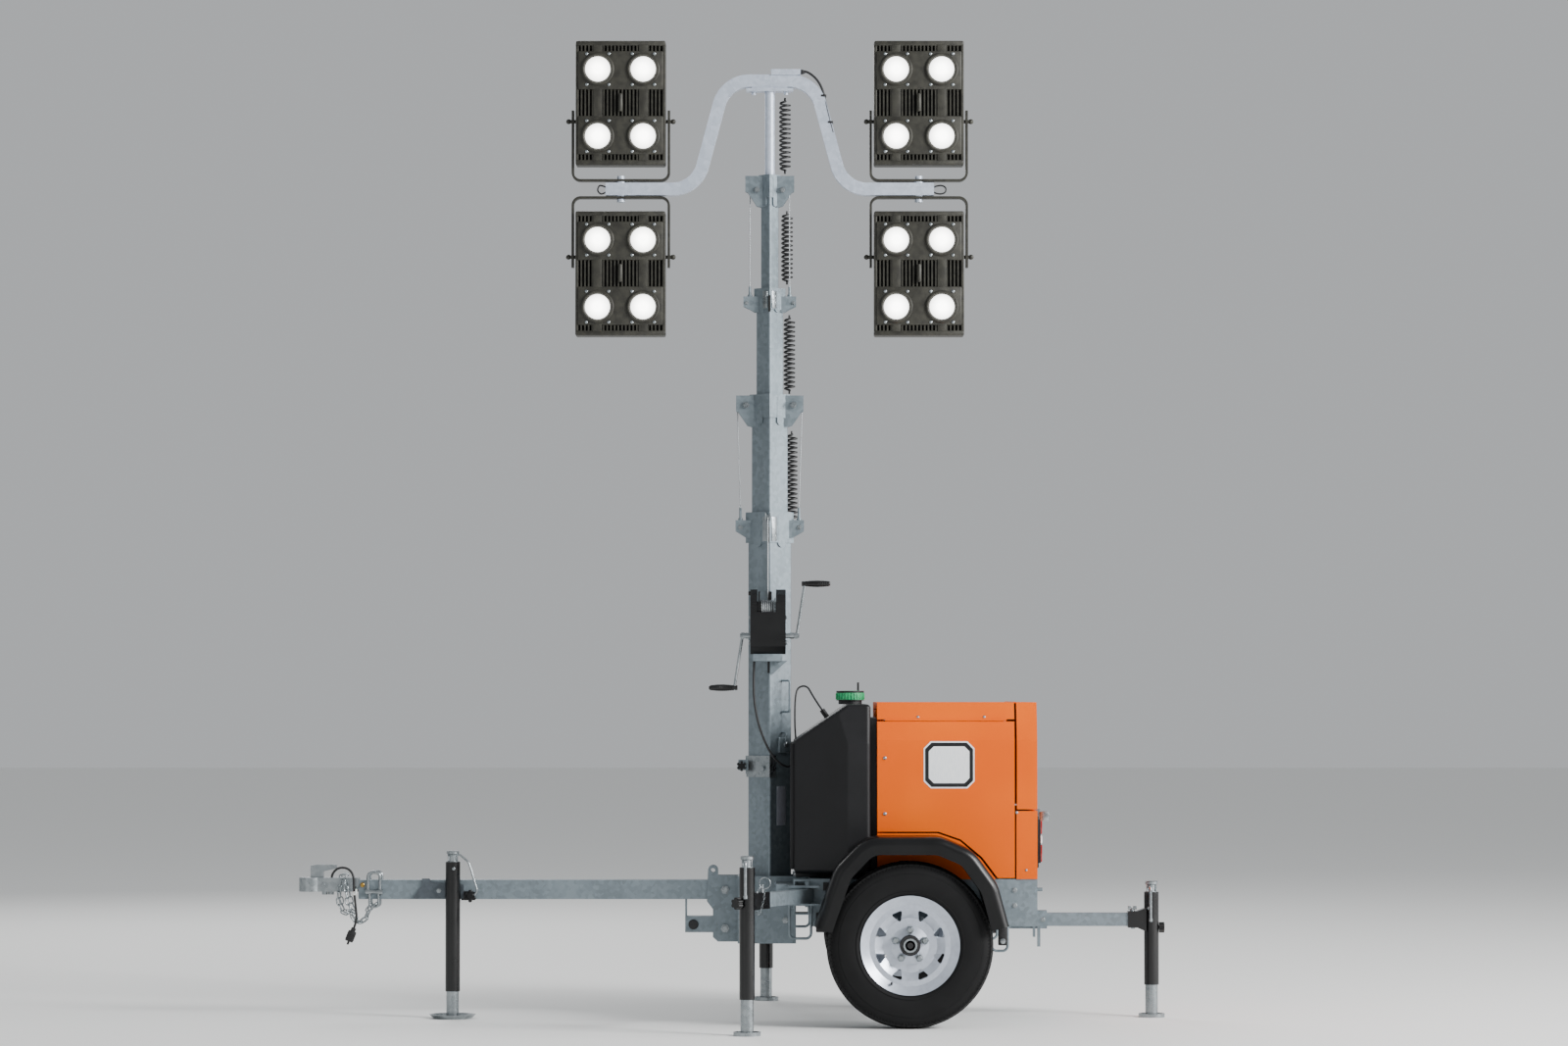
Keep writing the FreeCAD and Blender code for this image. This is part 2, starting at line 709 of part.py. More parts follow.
def mast_collar(across, low, high, tongue_low, tongue_width):
    """Square collar with a hanging tongue on each face."""
    out = across / 2 + 5
    shape = Part.makeBox(2 * out, 2 * out, high - low, V(-out, -out, low))
    inner = across - 4
    shape = shape.cut(Part.makeBox(inner, inner, high - low, V(-inner / 2, -inner / 2, low)))
    half = tongue_width / 2
    for turn in range(4):
        tongue_height = high - 12 - tongue_low - half
        tongue = Part.makeBox(7, tongue_width, tongue_height, V(across / 2 - 1, -half, tongue_low + half))
        tip = Part.makeCylinder(half, 7, V(across / 2 - 1, 0, tongue_low + half), X_AXIS)
        tongue = tongue.fuse(tip)
        tongue.rotate(V(0, 0, 0), Z_AXIS, 90 * turn)
        shape = shape.fuse(tongue)
    shape.rotate(V(0, 0, 0), Z_AXIS, 45)
    shape.translate(V(MAST_X, 0, 0))
    return shape


def ear_plate(outline, inner, side, y):
    """One ear plate on one side of the mast."""
    points = [(MAST_X + side * px, pz) for px, pz in outline]
    points = [(MAST_X + side * inner, outline[0][1])] + points + [(MAST_X + side * inner, outline[-1][1])]
    return plate_xz(points, y)


def mast_head(index):
    """Collar, ear plates, anchors and pulleys at the top of one section."""
    across = SECTIONS[index][0]
    pieces = [mast_collar(across, *row[1:]) for row in HEAD_COLLARS if row[0] == index]
    sides = (-1, 1)
    for _, outline, gap in (row for row in EARS if row[0] == index):
        inner = across / 2 * math.sqrt(2) - gap - EAR_PLATE - 2
        for side in sides:
            pieces.append(ear_plate(outline, inner, side, (-gap - EAR_PLATE, -gap)))
            pieces.append(ear_plate(outline, inner, side, (gap, gap + EAR_PLATE)))
    for _, rope_x, top, outer, low, gap, adjuster_top in (row for row in ANCHORS if row[0] == index):
        for side in sides:
            width = gap + EAR_PLATE
            shelf = sorted((MAST_X + side * outer, MAST_X + side * (across / 2 + 8)))
            end = sorted((MAST_X + side * outer, MAST_X + side * (outer - EAR_PLATE)))
            pieces.append(box(shelf, (-width, width), (top - EAR_PLATE, top)))
            pieces.append(box(end, (-width, width), (low, top)))
            x = MAST_X + side * rope_x
            pieces.append(rod((x, 0, top - 16), Z_AXIS, ADJUSTER_R, adjuster_top - top + 16))
            pieces.append(rod((x, 0, top - 1), Z_AXIS, 9, 9))
    for _, offset, z, radius in (row for row in PULLEYS if row[0] == index):
        for side in sides:
            x = MAST_X + side * offset
            pieces.append(rod((x, -8, z), Y_AXIS, radius, 16))
            pieces.append(rod((x, -24, z), Y_AXIS, 11, 48))
    return pieces


def mast_section(index):
    """One square mast section with its head fittings, clear of its own hollow."""
    across, wall, low, high = SECTIONS[index]
    hollow = across - 2 * wall
    core = Part.makeBox(hollow, hollow, high - low + 100, V(-hollow / 2, -hollow / 2, low))
    core.rotate(V(0, 0, 0), Z_AXIS, 45)
    core.translate(V(MAST_X, 0, 0))
    return [square_tube(across, wall, (low, high))] + [piece.cut(core) for piece in mast_head(index)]


GRAB_HANDLES = (  # bottom Z, top Z, how far it stands off the face
    (1162, 1281, 30),
    (1050, 1084, 17),
)
GRAB_R = 4


def first_section():
    """Outer section with its foot, lock collar, knob and grab handles."""
    pieces = mast_section(0)
    foot = rod((MAST_X, 0, 305), Z_AXIS, 80, 10)
    foot = foot.cut(rod((MAST_X, 0, 300), Z_AXIS, PIVOT_PIN_R + 0.5, 20))
    pieces.append(foot)
    collar = Part.makeBox(130, 130, 68, V(-65, -65, 926))
    collar = collar.cut(Part.makeBox(118, 118, 90, V(-59, -59, 915)))
    collar.rotate(V(0, 0, 0), Z_AXIS, 45)
    collar.translate(V(MAST_X, 0, 0))
    pieces.append(collar)
    pieces.append(box((MAST_X - 120, MAST_X - 80), (-14, -8), (940, 980)))
    pieces.append(star_knob((MAST_X - 107, -10, 956), -Y_AXIS, 19, 24))
    for low, high, reach in GRAB_HANDLES:
        near = (MAST_X + 46, -37)
        out = (near[0] + reach, near[1] - reach)
        route = [near + (high,), out + (high,), out + (low,), near + (low,)]
        pieces.append(bent_bar(route, 10, GRAB_R))
    return fuse(pieces)


save("mast_1", first_section())
for stage in (1, 2, 3):
    save("mast_" + str(stage + 1), fuse(mast_section(stage)))


def top_section():
    """Round top section with the plate that carries the arm."""
    across, wall, low, high = ROUND_SECTION
    tube = rod((MAST_X, 0, low), Z_AXIS, across / 2, high - low)
    tube = tube.cut(rod((MAST_X, 0, low - 5), Z_AXIS, across / 2 - wall, high - low + 2))
    plate = box((MAST_X - 90, MAST_X + 90), (-30, 30), (3539, 3551))
    pad = box((MAST_X - 68, MAST_X + 68), (-24, 24), (3551, ARM_Z - ARM_TUBE / 2))
    bolts = [rod((MAST_X + x, 0, 3527), Z_AXIS, 9, 14) for x in (-62, 62)]
    return fuse([tube, plate, pad] + bolts)


save("mast_5", top_section())


# Winch: hand winch on the outer section, with a crank each side
WINCH_Z = 1451
WINCH_Y = -150
WINCH_X = (MAST_X - 73, MAST_X + 61)
CRANK_ARM = 197
CRANK_HUB = 102
CRANK_END = 133
CRANK_TIP = 230
LEFT_GUARD = 26
RIGHT_GUARD = 37
COVER = (  # Y, Z: chamfered bottom and front
    (-88, 1381),
    (-172, 1381),
    (-200, 1410),
    (-200, 1540),
    (-88, 1540),
)
CHEEK = (  # Y, Z: rounded top
    (-92, 1535),
    (-92, 1612),
    (-106, 1626),
    (-158, 1626),
    (-186, 1606),
    (-196, 1575),
    (-196, 1535),
)


def winch():
    """Winch cover with its two guards, drum, ratchet plate, bracket and gusset."""
    pieces = [plate_yz(COVER, WINCH_X)]
    pieces.append(plate_yz(CHEEK, (WINCH_X[0], WINCH_X[0] + LEFT_GUARD)))
    pieces.append(plate_yz(CHEEK, (WINCH_X[1] - RIGHT_GUARD, WINCH_X[1])))
    pieces.append(rod((WINCH_X[0], -146, 1552), X_AXIS, 30, WINCH_X[1] - WINCH_X[0]))
    pieces.append(box((MAST_X - 43, MAST_X - 37), (-184, -92), (1540, 1618)))
    pieces.append(box((MAST_X - 62, MAST_X + 48), (-180, -90), (1355, 1381)))
    pieces.append(box((MAST_X - 8, MAST_X + 8), (-100, -82), (1310, 1620)))
    pieces.append(rod((WINCH_X[0] - 8, -140, 1612), X_AXIS, 8, 12))
    shape = fuse(pieces)
    return shape.cut(rod((MAST_X - 90, WINCH_Y, WINCH_Z), X_AXIS, 12.5, 180))


def cranks():
    """Shaft with two opposed cranks that slant outwards."""
    pieces = [rod((MAST_X - CRANK_HUB - 6, WINCH_Y, WINCH_Z), X_AXIS, 12, 2 * CRANK_HUB + 12)]
    for side in (-1, 1):
        tip = WINCH_Z + side * CRANK_ARM
        arm = [(CRANK_HUB - 5, WINCH_Z - side * 14), (CRANK_HUB + 5, WINCH_Z - side * 14)]
        arm += [(CRANK_END + 5, tip + side * 13), (CRANK_END - 5, tip + side * 13)]
        arm = [(MAST_X + side * px, pz) for px, pz in arm]
        pieces.append(plate_xz(arm, (WINCH_Y - 12, WINCH_Y + 12)))
        start = V(MAST_X + side * CRANK_END, WINCH_Y, tip)
        half = (CRANK_TIP - CRANK_END) / 2
        pieces.append(Part.makeCone(10, 13, half, start, X_AXIS * side))
        pieces.append(Part.makeCone(13, 10, half, start + X_AXIS * (side * half), X_AXIS * side))
    return fuse(pieces)


save("winch", winch())
save("winch_cranks", cranks())


# Lamp arm: bent square tube on the mast's top plate
ARM_PATH = (  # distance from the mast, Z of the centre line before the corners are rounded
    (ARM_HALF, ARM_END_Z),
    (281.6, ARM_END_Z),
    (170.5, ARM_Z),
)
ARM_BEND = 120


def lamp_arm():
    """Arm with its junction box, yoke spacers and clamp bolts."""
    path = [(MAST_X - px, pz) for px, pz in ARM_PATH]
    path += [(MAST_X + px, pz) for px, pz in reversed(ARM_PATH)]
    half = ARM_TUBE / 2
    pieces = [strip(path, ARM_BEND, (half, -half), (-half, half))]
    pieces.append(box((MAST_X + 5, MAST_X + 118), (-30, 30), (ARM_Z + half - 2, ARM_Z + half + 20)))
    for side in (-1, 1):
        x = MAST_X + side * LAMP_OFFSET
        pieces.append(rod((x, 0, ARM_END_Z + half), Z_AXIS, 20, 5))
        pieces.append(rod((x, 0, ARM_END_Z - half - 3), Z_AXIS, 20, 3))
        pieces.append(rod((x, 0, 3118), Z_AXIS, 6, 92))
        pieces.append(rod((x, 0, 3202.2), Z_AXIS, 15, 12))
        pieces.append(rod((x, 0, 3113.8), Z_AXIS, 15, 12))
    return fuse(pieces)


save("lamp_arm", lamp_arm())

YOKE_PIN_R = 7
YOKE_BEND = 30


def yoke(offset, pivot_z, bar_z):
    """U-shaped yoke of flat bar with its pivot pins and ball knobs."""
    x = MAST_X + offset
    out = YOKE_WIDTH / 2 - YOKE_BAR / 2
    end = pivot_z + (41 if pivot_z > bar_z else -41)
    line = [(x - out, end), (x - out, bar_z), (x + out, bar_z), (x + out, end)]
    bar = strip(line, YOKE_BEND, (-YOKE_BAR / 2, YOKE_BAR / 2), (-20, 20))
    bar = bar.cut(rod((x, 0, bar_z - 20), Z_AXIS, 6.5, 40))
    pieces = [bar]
    for side in (-1, 1):
        pieces.append(rod((x + side * 160, 0, pivot_z), X_AXIS * side, YOKE_PIN_R, 38))
        pieces.append(Part.makeSphere(10, V(x + side * (YOKE_WIDTH / 2 + 12), 0, pivot_z)))
    return fuse(pieces)


FIN_PITCH = 14.2
FIN_GAP = 8
FIN_STEPS = 11
FRONT_SLOT_DEPTH = 36
MIDDLE_SLOT = (-50, 50)
END_SLOTS = ((199, 218.5), (-218.5, -199))
WEB_STEPS = (-3, 0, 3)
BACK_SLOT_Y = 14
BACK_FIN_GAP = 10.2
BACK_SLOT_HALF = 213


def lamp_slots(x, middle):
    """Cutters of the upright slots that leave the cooling fins, in front and behind."""
    cutters = []
    front = (-LAMP_DEPTH / 2 - 10, -LAMP_DEPTH / 2 + FRONT_SLOT_DEPTH)
    for step in range(-FIN_STEPS, FIN_STEPS + 1):
        centre = x + step * FIN_PITCH
        slot_x = (centre - FIN_GAP / 2, centre + FIN_GAP / 2)
        rows = END_SLOTS if step in WEB_STEPS else END_SLOTS + (MIDDLE_SLOT,)
        for low, high in rows:
            cutters.append(box(slot_x, front, (middle + low, middle + high)))
        if abs(step) < FIN_STEPS:
            back_x = (centre - BACK_FIN_GAP / 2, centre + BACK_FIN_GAP / 2)
            back_z = (middle - BACK_SLOT_HALF, middle + BACK_SLOT_HALF)
            cutters.append(box(back_x, (BACK_SLOT_Y, LAMP_DEPTH), back_z))
    return Part.makeCompound(cutters)


def lamp_head(offset, pivot_z, up):
    """Finned lamp body with four lens rings and the driver between them."""
    x = MAST_X + offset
    half = LAMP_WIDTH / 2
    z = sorted((pivot_z - up * LAMP_SHORT, pivot_z + up * LAMP_LONG))
    body = box((x - half, x + half), (-LAMP_DEPTH / 2, LAMP_DEPTH / 2), z)
    upright = [e for e in body.Edges if abs(e.tangentAt(e.FirstParameter).z) > 0.9]
    body = body.makeFillet(12, upright)
    middle = (z[0] + z[1]) / 2
    pieces = [body, rod((x, -LAMP_DEPTH / 2 - 6, middle - 34), Z_AXIS, 9, 68)]
    for dx in (-LENS_X, LENS_X):
        for dz in (-LENS_Z, LENS_Z):
            pieces.append(rod((x + dx, -LAMP_DEPTH / 2 - 8, middle + dz), Y_AXIS, LENS_R, 12))
    shape = fuse(pieces).cut(lamp_slots(x, middle))
    for side in (-1, 1):
        shape = shape.cut(rod((x + side * 155, 0, pivot_z), X_AXIS * side, YOKE_PIN_R + 0.4, 40))
    return shape


LAMPS = (  # name, offset from the mast, pivot Z, yoke bar Z, direction of the long end
    ("left_upper", -LAMP_OFFSET, UPPER_PIVOT_Z, 3197, 1),
    ("right_upper", LAMP_OFFSET, UPPER_PIVOT_Z, 3197, 1),
    ("left_lower", -LAMP_OFFSET, LOWER_PIVOT_Z, 3131, -1),
    ("right_lower", LAMP_OFFSET, LOWER_PIVOT_Z, 3131, -1),
)
for name, offset, pivot_z, bar_z, up in LAMPS:
    save("yoke_" + name, yoke(offset, pivot_z, bar_z))
    save("lamp_" + name, lamp_head(offset, pivot_z, up))


# Hoist ropes: steel ropes from each pulley down to the anchor below
ROPE_R = 2
ROPES = (  # node, top offset, top Z, bottom offset, bottom Z
    ("rope_lower", 124.4, 2335, 112, 1942.4),
    ("rope_upper", 75.4, 3160, 76, 2790.4),
)
for node, top_offset, top_z, low_offset, low_z in ROPES:
    pair = []
    for side in (-1, 1):
        start = V(MAST_X + side * low_offset, 0, low_z)
        finish = V(MAST_X + side * top_offset, 0, top_z)
        pair.append(Part.makeCylinder(ROPE_R, (finish - start).Length, start, finish - start))
    save(node, Part.makeCompound(pair))


# Curly cord: four lengths between guide rings on neighbouring sections
CURLY_R = 24
CURLY = (  # node, X offset, Y, bottom, top
    ("curly_cord_1", 84, 60, 1880, 2240),
    ("curly_cord_2", 75, 46, 2380, 2685),
    ("curly_cord_3", 66, 40, 2800, 3085),
    ("curly_cord_4", 58, 28, 3225, 3520),
)
for node, offset, y, low, high in CURLY:
    save(node, rod((MAST_X + offset, y, low), Z_AXIS, CURLY_R, high - low))


# Jacks: black outer tube with a zinc crown and crank, zinc leg and foot
JACKS = (  # name, X, Y, tube bottom, tube top, crown top, foot radius, dished
    ("front", FRONT_JACK[0], FRONT_JACK[1], 103, 593, 634, 89, True),
    ("rear", REAR_JACK_X, 0, 124, 476, 517, 50, False),
    ("side_near", NEAR_JACK_X, -SIDE_JACK_Y, 130, 605, 646, 50, False),
    ("side_far", FAR_JACK_X, SIDE_JACK_Y, 130, 605, 646, 50, False),
)
JACK_TUBE_R = 28
CROWN_NECK_R = 16
CROWN_R = 23.5
HANDLE_R = 5
FOLDED_CRANK = 130


def jack_tube(x, y, low, high, crown):
    """Outer tube, crown and folded crank handle."""
    side = -1 if y <= 0 else 1
    tube = rod((x, y, low), Z_AXIS, JACK_TUBE_R, high - low)
    tube = tube.cut(rod((x, y, low - 5), Z_AXIS, LEG_R + 0.4, high - low))
    neck = rod((x, y, high - 2), Z_AXIS, CROWN_NECK_R, crown - high - 8)
    cap = rod((x, y, crown - 12), Z_AXIS, CROWN_R, 12)
    knee = y + side * (JACK_TUBE_R + HANDLE_R + 12)
    route = [(x - 6, y, high + 20), (x - 6, knee, high + 20), (x - 6, knee, high + 20 - FOLDED_CRANK)]
    return [tube, neck, cap, bent_bar(route, 12, HANDLE_R)]


def jack_leg(x, y, high, foot_r, dished):
    """Leg tube on a round foot."""
    leg = rod((x, y, 4), Z_AXIS, LEG_R, high - 134)
    if dished:
        dish = Part.makeCone(foot_r - 17, foot_r, 16, V(x, y, 0))
        hollow = Part.makeCone(foot_r - 22, foot_r - 5, 16, V(x, y, 4))
        return fuse([leg, dish.cut(hollow)])
    foot = rod((x, y, 0), Z_AXIS, foot_r, 6)
    rim_ring = rod((x, y, 6), Z_AXIS, foot_r, 8).cut(rod((x, y, 6), Z_AXIS, foot_r - 8, 8))
    return fuse([leg, foot, rim_ring])


ARM_SPAN_Z = (458, 508)
ARM_HALF_WIDTH = 25
SLEEVE_WALL = 5.5
SLEEVE_GAP = 0.3
SIDE_SLEEVE = 135
SIDE_KNOB_Z = 477
SIDE_KNOB_R = 22
REAR_SOCKET = (  # X, Z of the socket on the rear jack
    (1510, 403),
    (1545, 403),
    (1580, 416),
    (1580, 326),
    (1545, 341),
    (1510, 341),
)
REAR_SOCKET_END = 1562
REAR_KNOB_Z = 341
REAR_KNOB_R = 20


def arm_span(jack_x):
    """Length and direction in degrees of a near outrigger arm from its pivot to its jack."""
    dx = jack_x - SIDE_PIVOT[0]
    dy = SIDE_PIVOT[1] - SIDE_JACK_Y
    return math.hypot(dx, dy), math.degrees(math.atan2(dy, dx))


def side_socket(jack_x):
    """Square socket of the near side jack that holds the arm's end, and the jack's hand knob."""
    span, angle = arm_span(jack_x)
    inner = ARM_HALF_WIDTH + SLEEVE_GAP
    outer = ARM_HALF_WIDTH + SLEEVE_WALL
    middle = (ARM_SPAN_Z[0] + ARM_SPAN_Z[1]) / 2
    socket = box((span - SIDE_SLEEVE, span), (-outer, outer), (middle - outer, middle + outer))
    hollow_z = (middle - inner, middle + inner)
    socket = socket.cut(box((span - SIDE_SLEEVE - 10, span - 39), (-inner, inner), hollow_z))
    socket = socket.cut(rod((span, 0, 400), Z_AXIS, JACK_TUBE_R - 1, 200))
    socket.rotate(V(0, 0, 0), Z_AXIS, angle)
    socket.translate(V(SIDE_PIVOT[0], -SIDE_PIVOT[1], 0))
    diagonal = V(-1, -1, 0).normalize()
    foot = V(jack_x, -SIDE_JACK_Y, SIDE_KNOB_Z) + diagonal * (LEG_R + 2)
    knob = star_knob(tuple(foot + diagonal * 14), diagonal, SIDE_KNOB_R, 20)
    return [socket, Part.makeCylinder(7, 20, foot, diagonal), knob]


for name, x, y, low, high, crown, foot_r, dished in JACKS:
    tube = jack_tube(x, y, low, high, crown)
    if name == "side_near":
        tube += side_socket(x)
    if name == "side_far":
        tube += [mirrored(piece) for piece in side_socket(x)]
    if name == "rear":
        socket = plate_xz(REAR_SOCKET, (-ARM_HALF_WIDTH - SLEEVE_WALL, ARM_HALF_WIDTH + SLEEVE_WALL))
        inner = ARM_HALF_WIDTH + SLEEVE_GAP
        hollow_z = (REAR_BEAM_Z - inner, REAR_BEAM_Z + inner)
        socket = socket.cut(box((1500, REAR_SOCKET_END), (-inner, inner), hollow_z))
        tube.append(socket.cut(rod((x, y, 300), Z_AXIS, JACK_TUBE_R - 1, 200)))
        tube.append(rod((x + LEG_R + 2, y, REAR_KNOB_Z), X_AXIS, 7, 12))
        tube.append(star_knob((x + JACK_TUBE_R + 1, y, REAR_KNOB_Z), X_AXIS, REAR_KNOB_R, 20))
    if name == "front":
        tube.append(box((x - 154, x + 39), (-46, -DRAWBAR_HALF - 0.5), (446, 527)))
        ring = rod((x, y, 452), Z_AXIS, JACK_TUBE_R + 5, 66)
        tube.append(ring.cut(rod((x, y, 450), Z_AXIS, JACK_TUBE_R - 1, 70)))
        tube.append(star_knob((x + 65, -40, 462), -Y_AXIS, 24, 22))
        tube.append(box((x + 30, x + 75), (-46, -DRAWBAR_HALF - 0.5), (446, 480)))
    save("jack_tube_" + name, fuse(tube))
    save("jack_leg_" + name, jack_leg(x, y, high, foot_r, dished))


# Side outriggers: arms that swing on an upright pivot
ARM_WALL = 4


def side_arm(jack_x):
    """Near outrigger arm between its pivot and its jack's socket."""
    span, angle = arm_span(jack_x)
    inner = ARM_HALF_WIDTH - ARM_WALL
    arm = box((0, span - 40), (-ARM_HALF_WIDTH, ARM_HALF_WIDTH), ARM_SPAN_Z)
    arm = arm.cut(box((-30, span), (-inner, inner), (ARM_SPAN_Z[0] + ARM_WALL, ARM_SPAN_Z[1] - ARM_WALL)))
    hub = rod((0, 0, ARM_SPAN_Z[0]), Z_AXIS, 22, ARM_SPAN_Z[1] - ARM_SPAN_Z[0])
    shape = fuse([arm, hub]).cut(rod((0, 0, 400), Z_AXIS, PIVOT_R + 0.4, 200))
    shape.rotate(V(0, 0, 0), Z_AXIS, angle)
    shape.translate(V(SIDE_PIVOT[0], -SIDE_PIVOT[1], 0))
    return shape


save("outrigger_near", side_arm(NEAR_JACK_X))
save("outrigger_far", mirrored(side_arm(FAR_JACK_X)))


# Rear outrigger: beam that slides in the chassis sleeve
def rear_beam():
    """Beam whose end stands in the rear jack's socket."""
    outer = ARM_HALF_WIDTH
    inner = ARM_HALF_WIDTH - ARM_WALL
    beam = box((700, REAR_SOCKET_END - 1), (-outer, outer), (REAR_BEAM_Z - outer, REAR_BEAM_Z + outer))
    return beam.cut(box((690, 1700), (-inner, inner), (REAR_BEAM_Z - inner, REAR_BEAM_Z + inner)))


save("rear_beam", rear_beam())


# Trailer cable: hangs beside the coupler and ends in a flat plug
CABLE_D = 9
TOW_ROUTE = (
    (-1514, -50, 553),
    (-1484, -54, 566),
    (-1452, -58, 560),
    (-1438, -60, 528),
    (-1436, -60, 484),
    (-1428, -60, 432),
    (-1430, -60, 380),
    (-1436, -60, 342),
)
save("tow_cable", cord_tube(TOW_ROUTE, CABLE_D, "tow_cable"))
save("tow_plug", box((-1472, -1428), (-72, -50), (290, 341)))


# Safety chains: one on each side of the drawbar, from a double shackle down in a loop and up
# again beside the coupler, where the spare length hangs bunched
LINK_LENGTH = 34
LINK_WIDTH = 20
LINK_WIRE = 5.5
LINK_PITCH = 24
CHAIN_ROUTE = (  # X, Y, Z of the near chain
    (-1361, -52, 428),
    (-1383, -50, 412),
    (-1393, -44, 382),
    (-1416, -40, 352),
    (-1437, -40, 374),
    (-1455, -48, 408),
    (-1464, -52, 384),
    (-1488, -54, 418),
    (-1499, -54, 458),
    (-1488, -54, 512),
    (-1476, -56, 548),
    (-1466, -66, 500),
    (-1462, -68, 448),
    (-1446, -74, 412),
)
SHACKLE_LOOPS = (  # left X, right X, pin end Z, bow Z, bar radius, bend
    (-1384, -1338, 470, 552, 6, 20),
    (-1378, -1344, 486, 420, 5, 14),
)
SHACKLE_PIN_Z = 478


def octagon(half_length, half_width, corner):
    """Corner points of a long octagon."""
    points = [(half_length, half_width - corner), (half_length - corner, half_width)]
    points += [(-px, py) for px, py in reversed(points)]
    return points + [(-px, -py) for px, py in points]


def chain_link(centre, ahead, roll):
    """One link that lies along a direction."""
    ring = plate_xy(octagon(LINK_LENGTH / 2, LINK_WIDTH / 2, 6), (-LINK_WIRE / 2, LINK_WIRE / 2))
    gap = octagon(LINK_LENGTH / 2 - LINK_WIRE, LINK_WIDTH / 2 - LINK_WIRE, 3)
    ring = ring.cut(plate_xy(gap, (-LINK_WIRE, LINK_WIRE)))
    ring.rotate(V(0, 0, 0), X_AXIS, roll)
    turned = FreeCAD.Placement(centre, FreeCAD.Rotation(X_AXIS, ahead))
    ring.Placement = turned.multiply(ring.Placement)
    return ring


def link_centres():
    """Places along the chain's route, one pitch apart."""
    corners = [V(*point) for point in CHAIN_ROUTE]
    centres = [corners[0]]
    for start, finish in zip(corners, corners[1:]):
        steps = int((finish - start).Length)
        for number in range(steps):
            place = start + (finish - start) * ((number + 1) / steps)
            if (place - centres[-1]).Length >= LINK_PITCH:
                centres.append(place)
    return centres


def near_chain():
    """Near safety chain with its double shackle."""
    centres = link_centres()
    links = []
    for number, centre in enumerate(centres):
        before = centres[max(number - 1, 0)]
        after = centres[min(number + 1, len(centres) - 1)]
        links.append(chain_link(centre, after - before, 90 * (number % 2)))
    y = -DRAWBAR_HALF - 7
    pieces = [rod((-1394, y, SHACKLE_PIN_Z), X_AXIS, 7, 66)]
    for left, right, pin_end, bow, radius, bend in SHACKLE_LOOPS:
        route = [(left, y, pin_end), (left, y, bow), (right, y, bow), (right, y, pin_end)]
        pieces.append(bent_bar(route, bend, radius))
    return links[0].fuse(links[1:] + pieces)


near_safety_chain = near_chain()
save("safety_chains", Part.makeCompound([near_safety_chain, mirrored(near_safety_chain)]))
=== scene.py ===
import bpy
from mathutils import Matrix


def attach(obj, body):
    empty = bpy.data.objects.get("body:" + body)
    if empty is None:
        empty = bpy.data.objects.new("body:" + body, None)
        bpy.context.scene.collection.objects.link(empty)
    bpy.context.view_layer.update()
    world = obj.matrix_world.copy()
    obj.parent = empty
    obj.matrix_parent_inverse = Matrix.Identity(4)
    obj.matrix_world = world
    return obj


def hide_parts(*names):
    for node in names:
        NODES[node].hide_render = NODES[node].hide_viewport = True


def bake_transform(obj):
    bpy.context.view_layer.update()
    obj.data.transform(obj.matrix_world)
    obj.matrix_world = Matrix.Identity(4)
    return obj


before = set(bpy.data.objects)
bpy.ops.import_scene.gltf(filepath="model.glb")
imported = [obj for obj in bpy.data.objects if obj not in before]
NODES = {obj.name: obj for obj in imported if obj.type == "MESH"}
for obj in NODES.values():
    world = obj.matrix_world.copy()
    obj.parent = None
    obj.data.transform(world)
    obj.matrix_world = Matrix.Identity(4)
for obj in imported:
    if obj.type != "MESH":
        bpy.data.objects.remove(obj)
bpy.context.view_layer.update()        # bodies and nodes

import bpy
import bmesh
import math
from mathutils import Matrix, Vector

# Camera: it stands eighteen metres to the side, a little above waist height, and looks
# slightly upwards, as the photograph does. The floor is a plain pale studio floor under soft
# lights: a broad key from the right, a weaker fill from the left and a light behind.
CAMERA_PLACE = (0.191, -18.336, 1.238)
CAMERA_PITCH = math.radians(2.017)
CAMERA_YAW = -0.000468
CAMERA_LENS = 110.1
FLOOR_HALF = 60.0
FLOOR_COLOUR = "#F1F1EF"
SKY_COLOUR = "#EEF1F4"
SOFT_LIGHTS = (  # name, place, aim, size, watts
    ("key", (9.0, -6.5, 6.0), (0.2, 0.0, 1.4), 3.5, 1700.0),
    ("side", (10.0, -2.0, 4.5), (0.2, 0.0, 2.0), 6.0, 750.0),
    ("fill", (-7.5, -9.0, 3.0), (0.0, 0.0, 1.2), 5.0, 60.0),
    ("back", (-3.0, 8.0, 6.5), (0.2, 0.0, 1.6), 5.0, 350.0),
)


def linear(hex_colour):
    """An sRGB hex colour as linear red, green, blue and alpha."""
    parts = [int(hex_colour[i:i + 2], 16) / 255 for i in (1, 3, 5)]
    return [c / 12.92 if c <= 0.04045 else ((c + 0.055) / 1.055) ** 2.4 for c in parts] + [1.0]


def add_node(tree, kind, inputs=(), **settings):
    """A node with its settings; an input given as a socket becomes a link."""
    made = tree.nodes.new(kind)
    for name, value in settings.items():
        setattr(made, name, value)
    for name, value in dict(inputs).items():
        if isinstance(value, bpy.types.NodeSocket):
            tree.links.new(value, made.inputs[name])
        else:
            made.inputs[name].default_value = value
    return made


def start_material(name, inputs):
    """A material with a principled shader, and its node tree."""
    material = bpy.data.materials.new(name)
    material.use_nodes = True
    tree = material.node_tree
    tree.nodes.clear()
    shader = add_node(tree, "ShaderNodeBsdfPrincipled", inputs)
    add_node(tree, "ShaderNodeOutputMaterial", {"Surface": shader.outputs["BSDF"]})
    return material, tree, shader


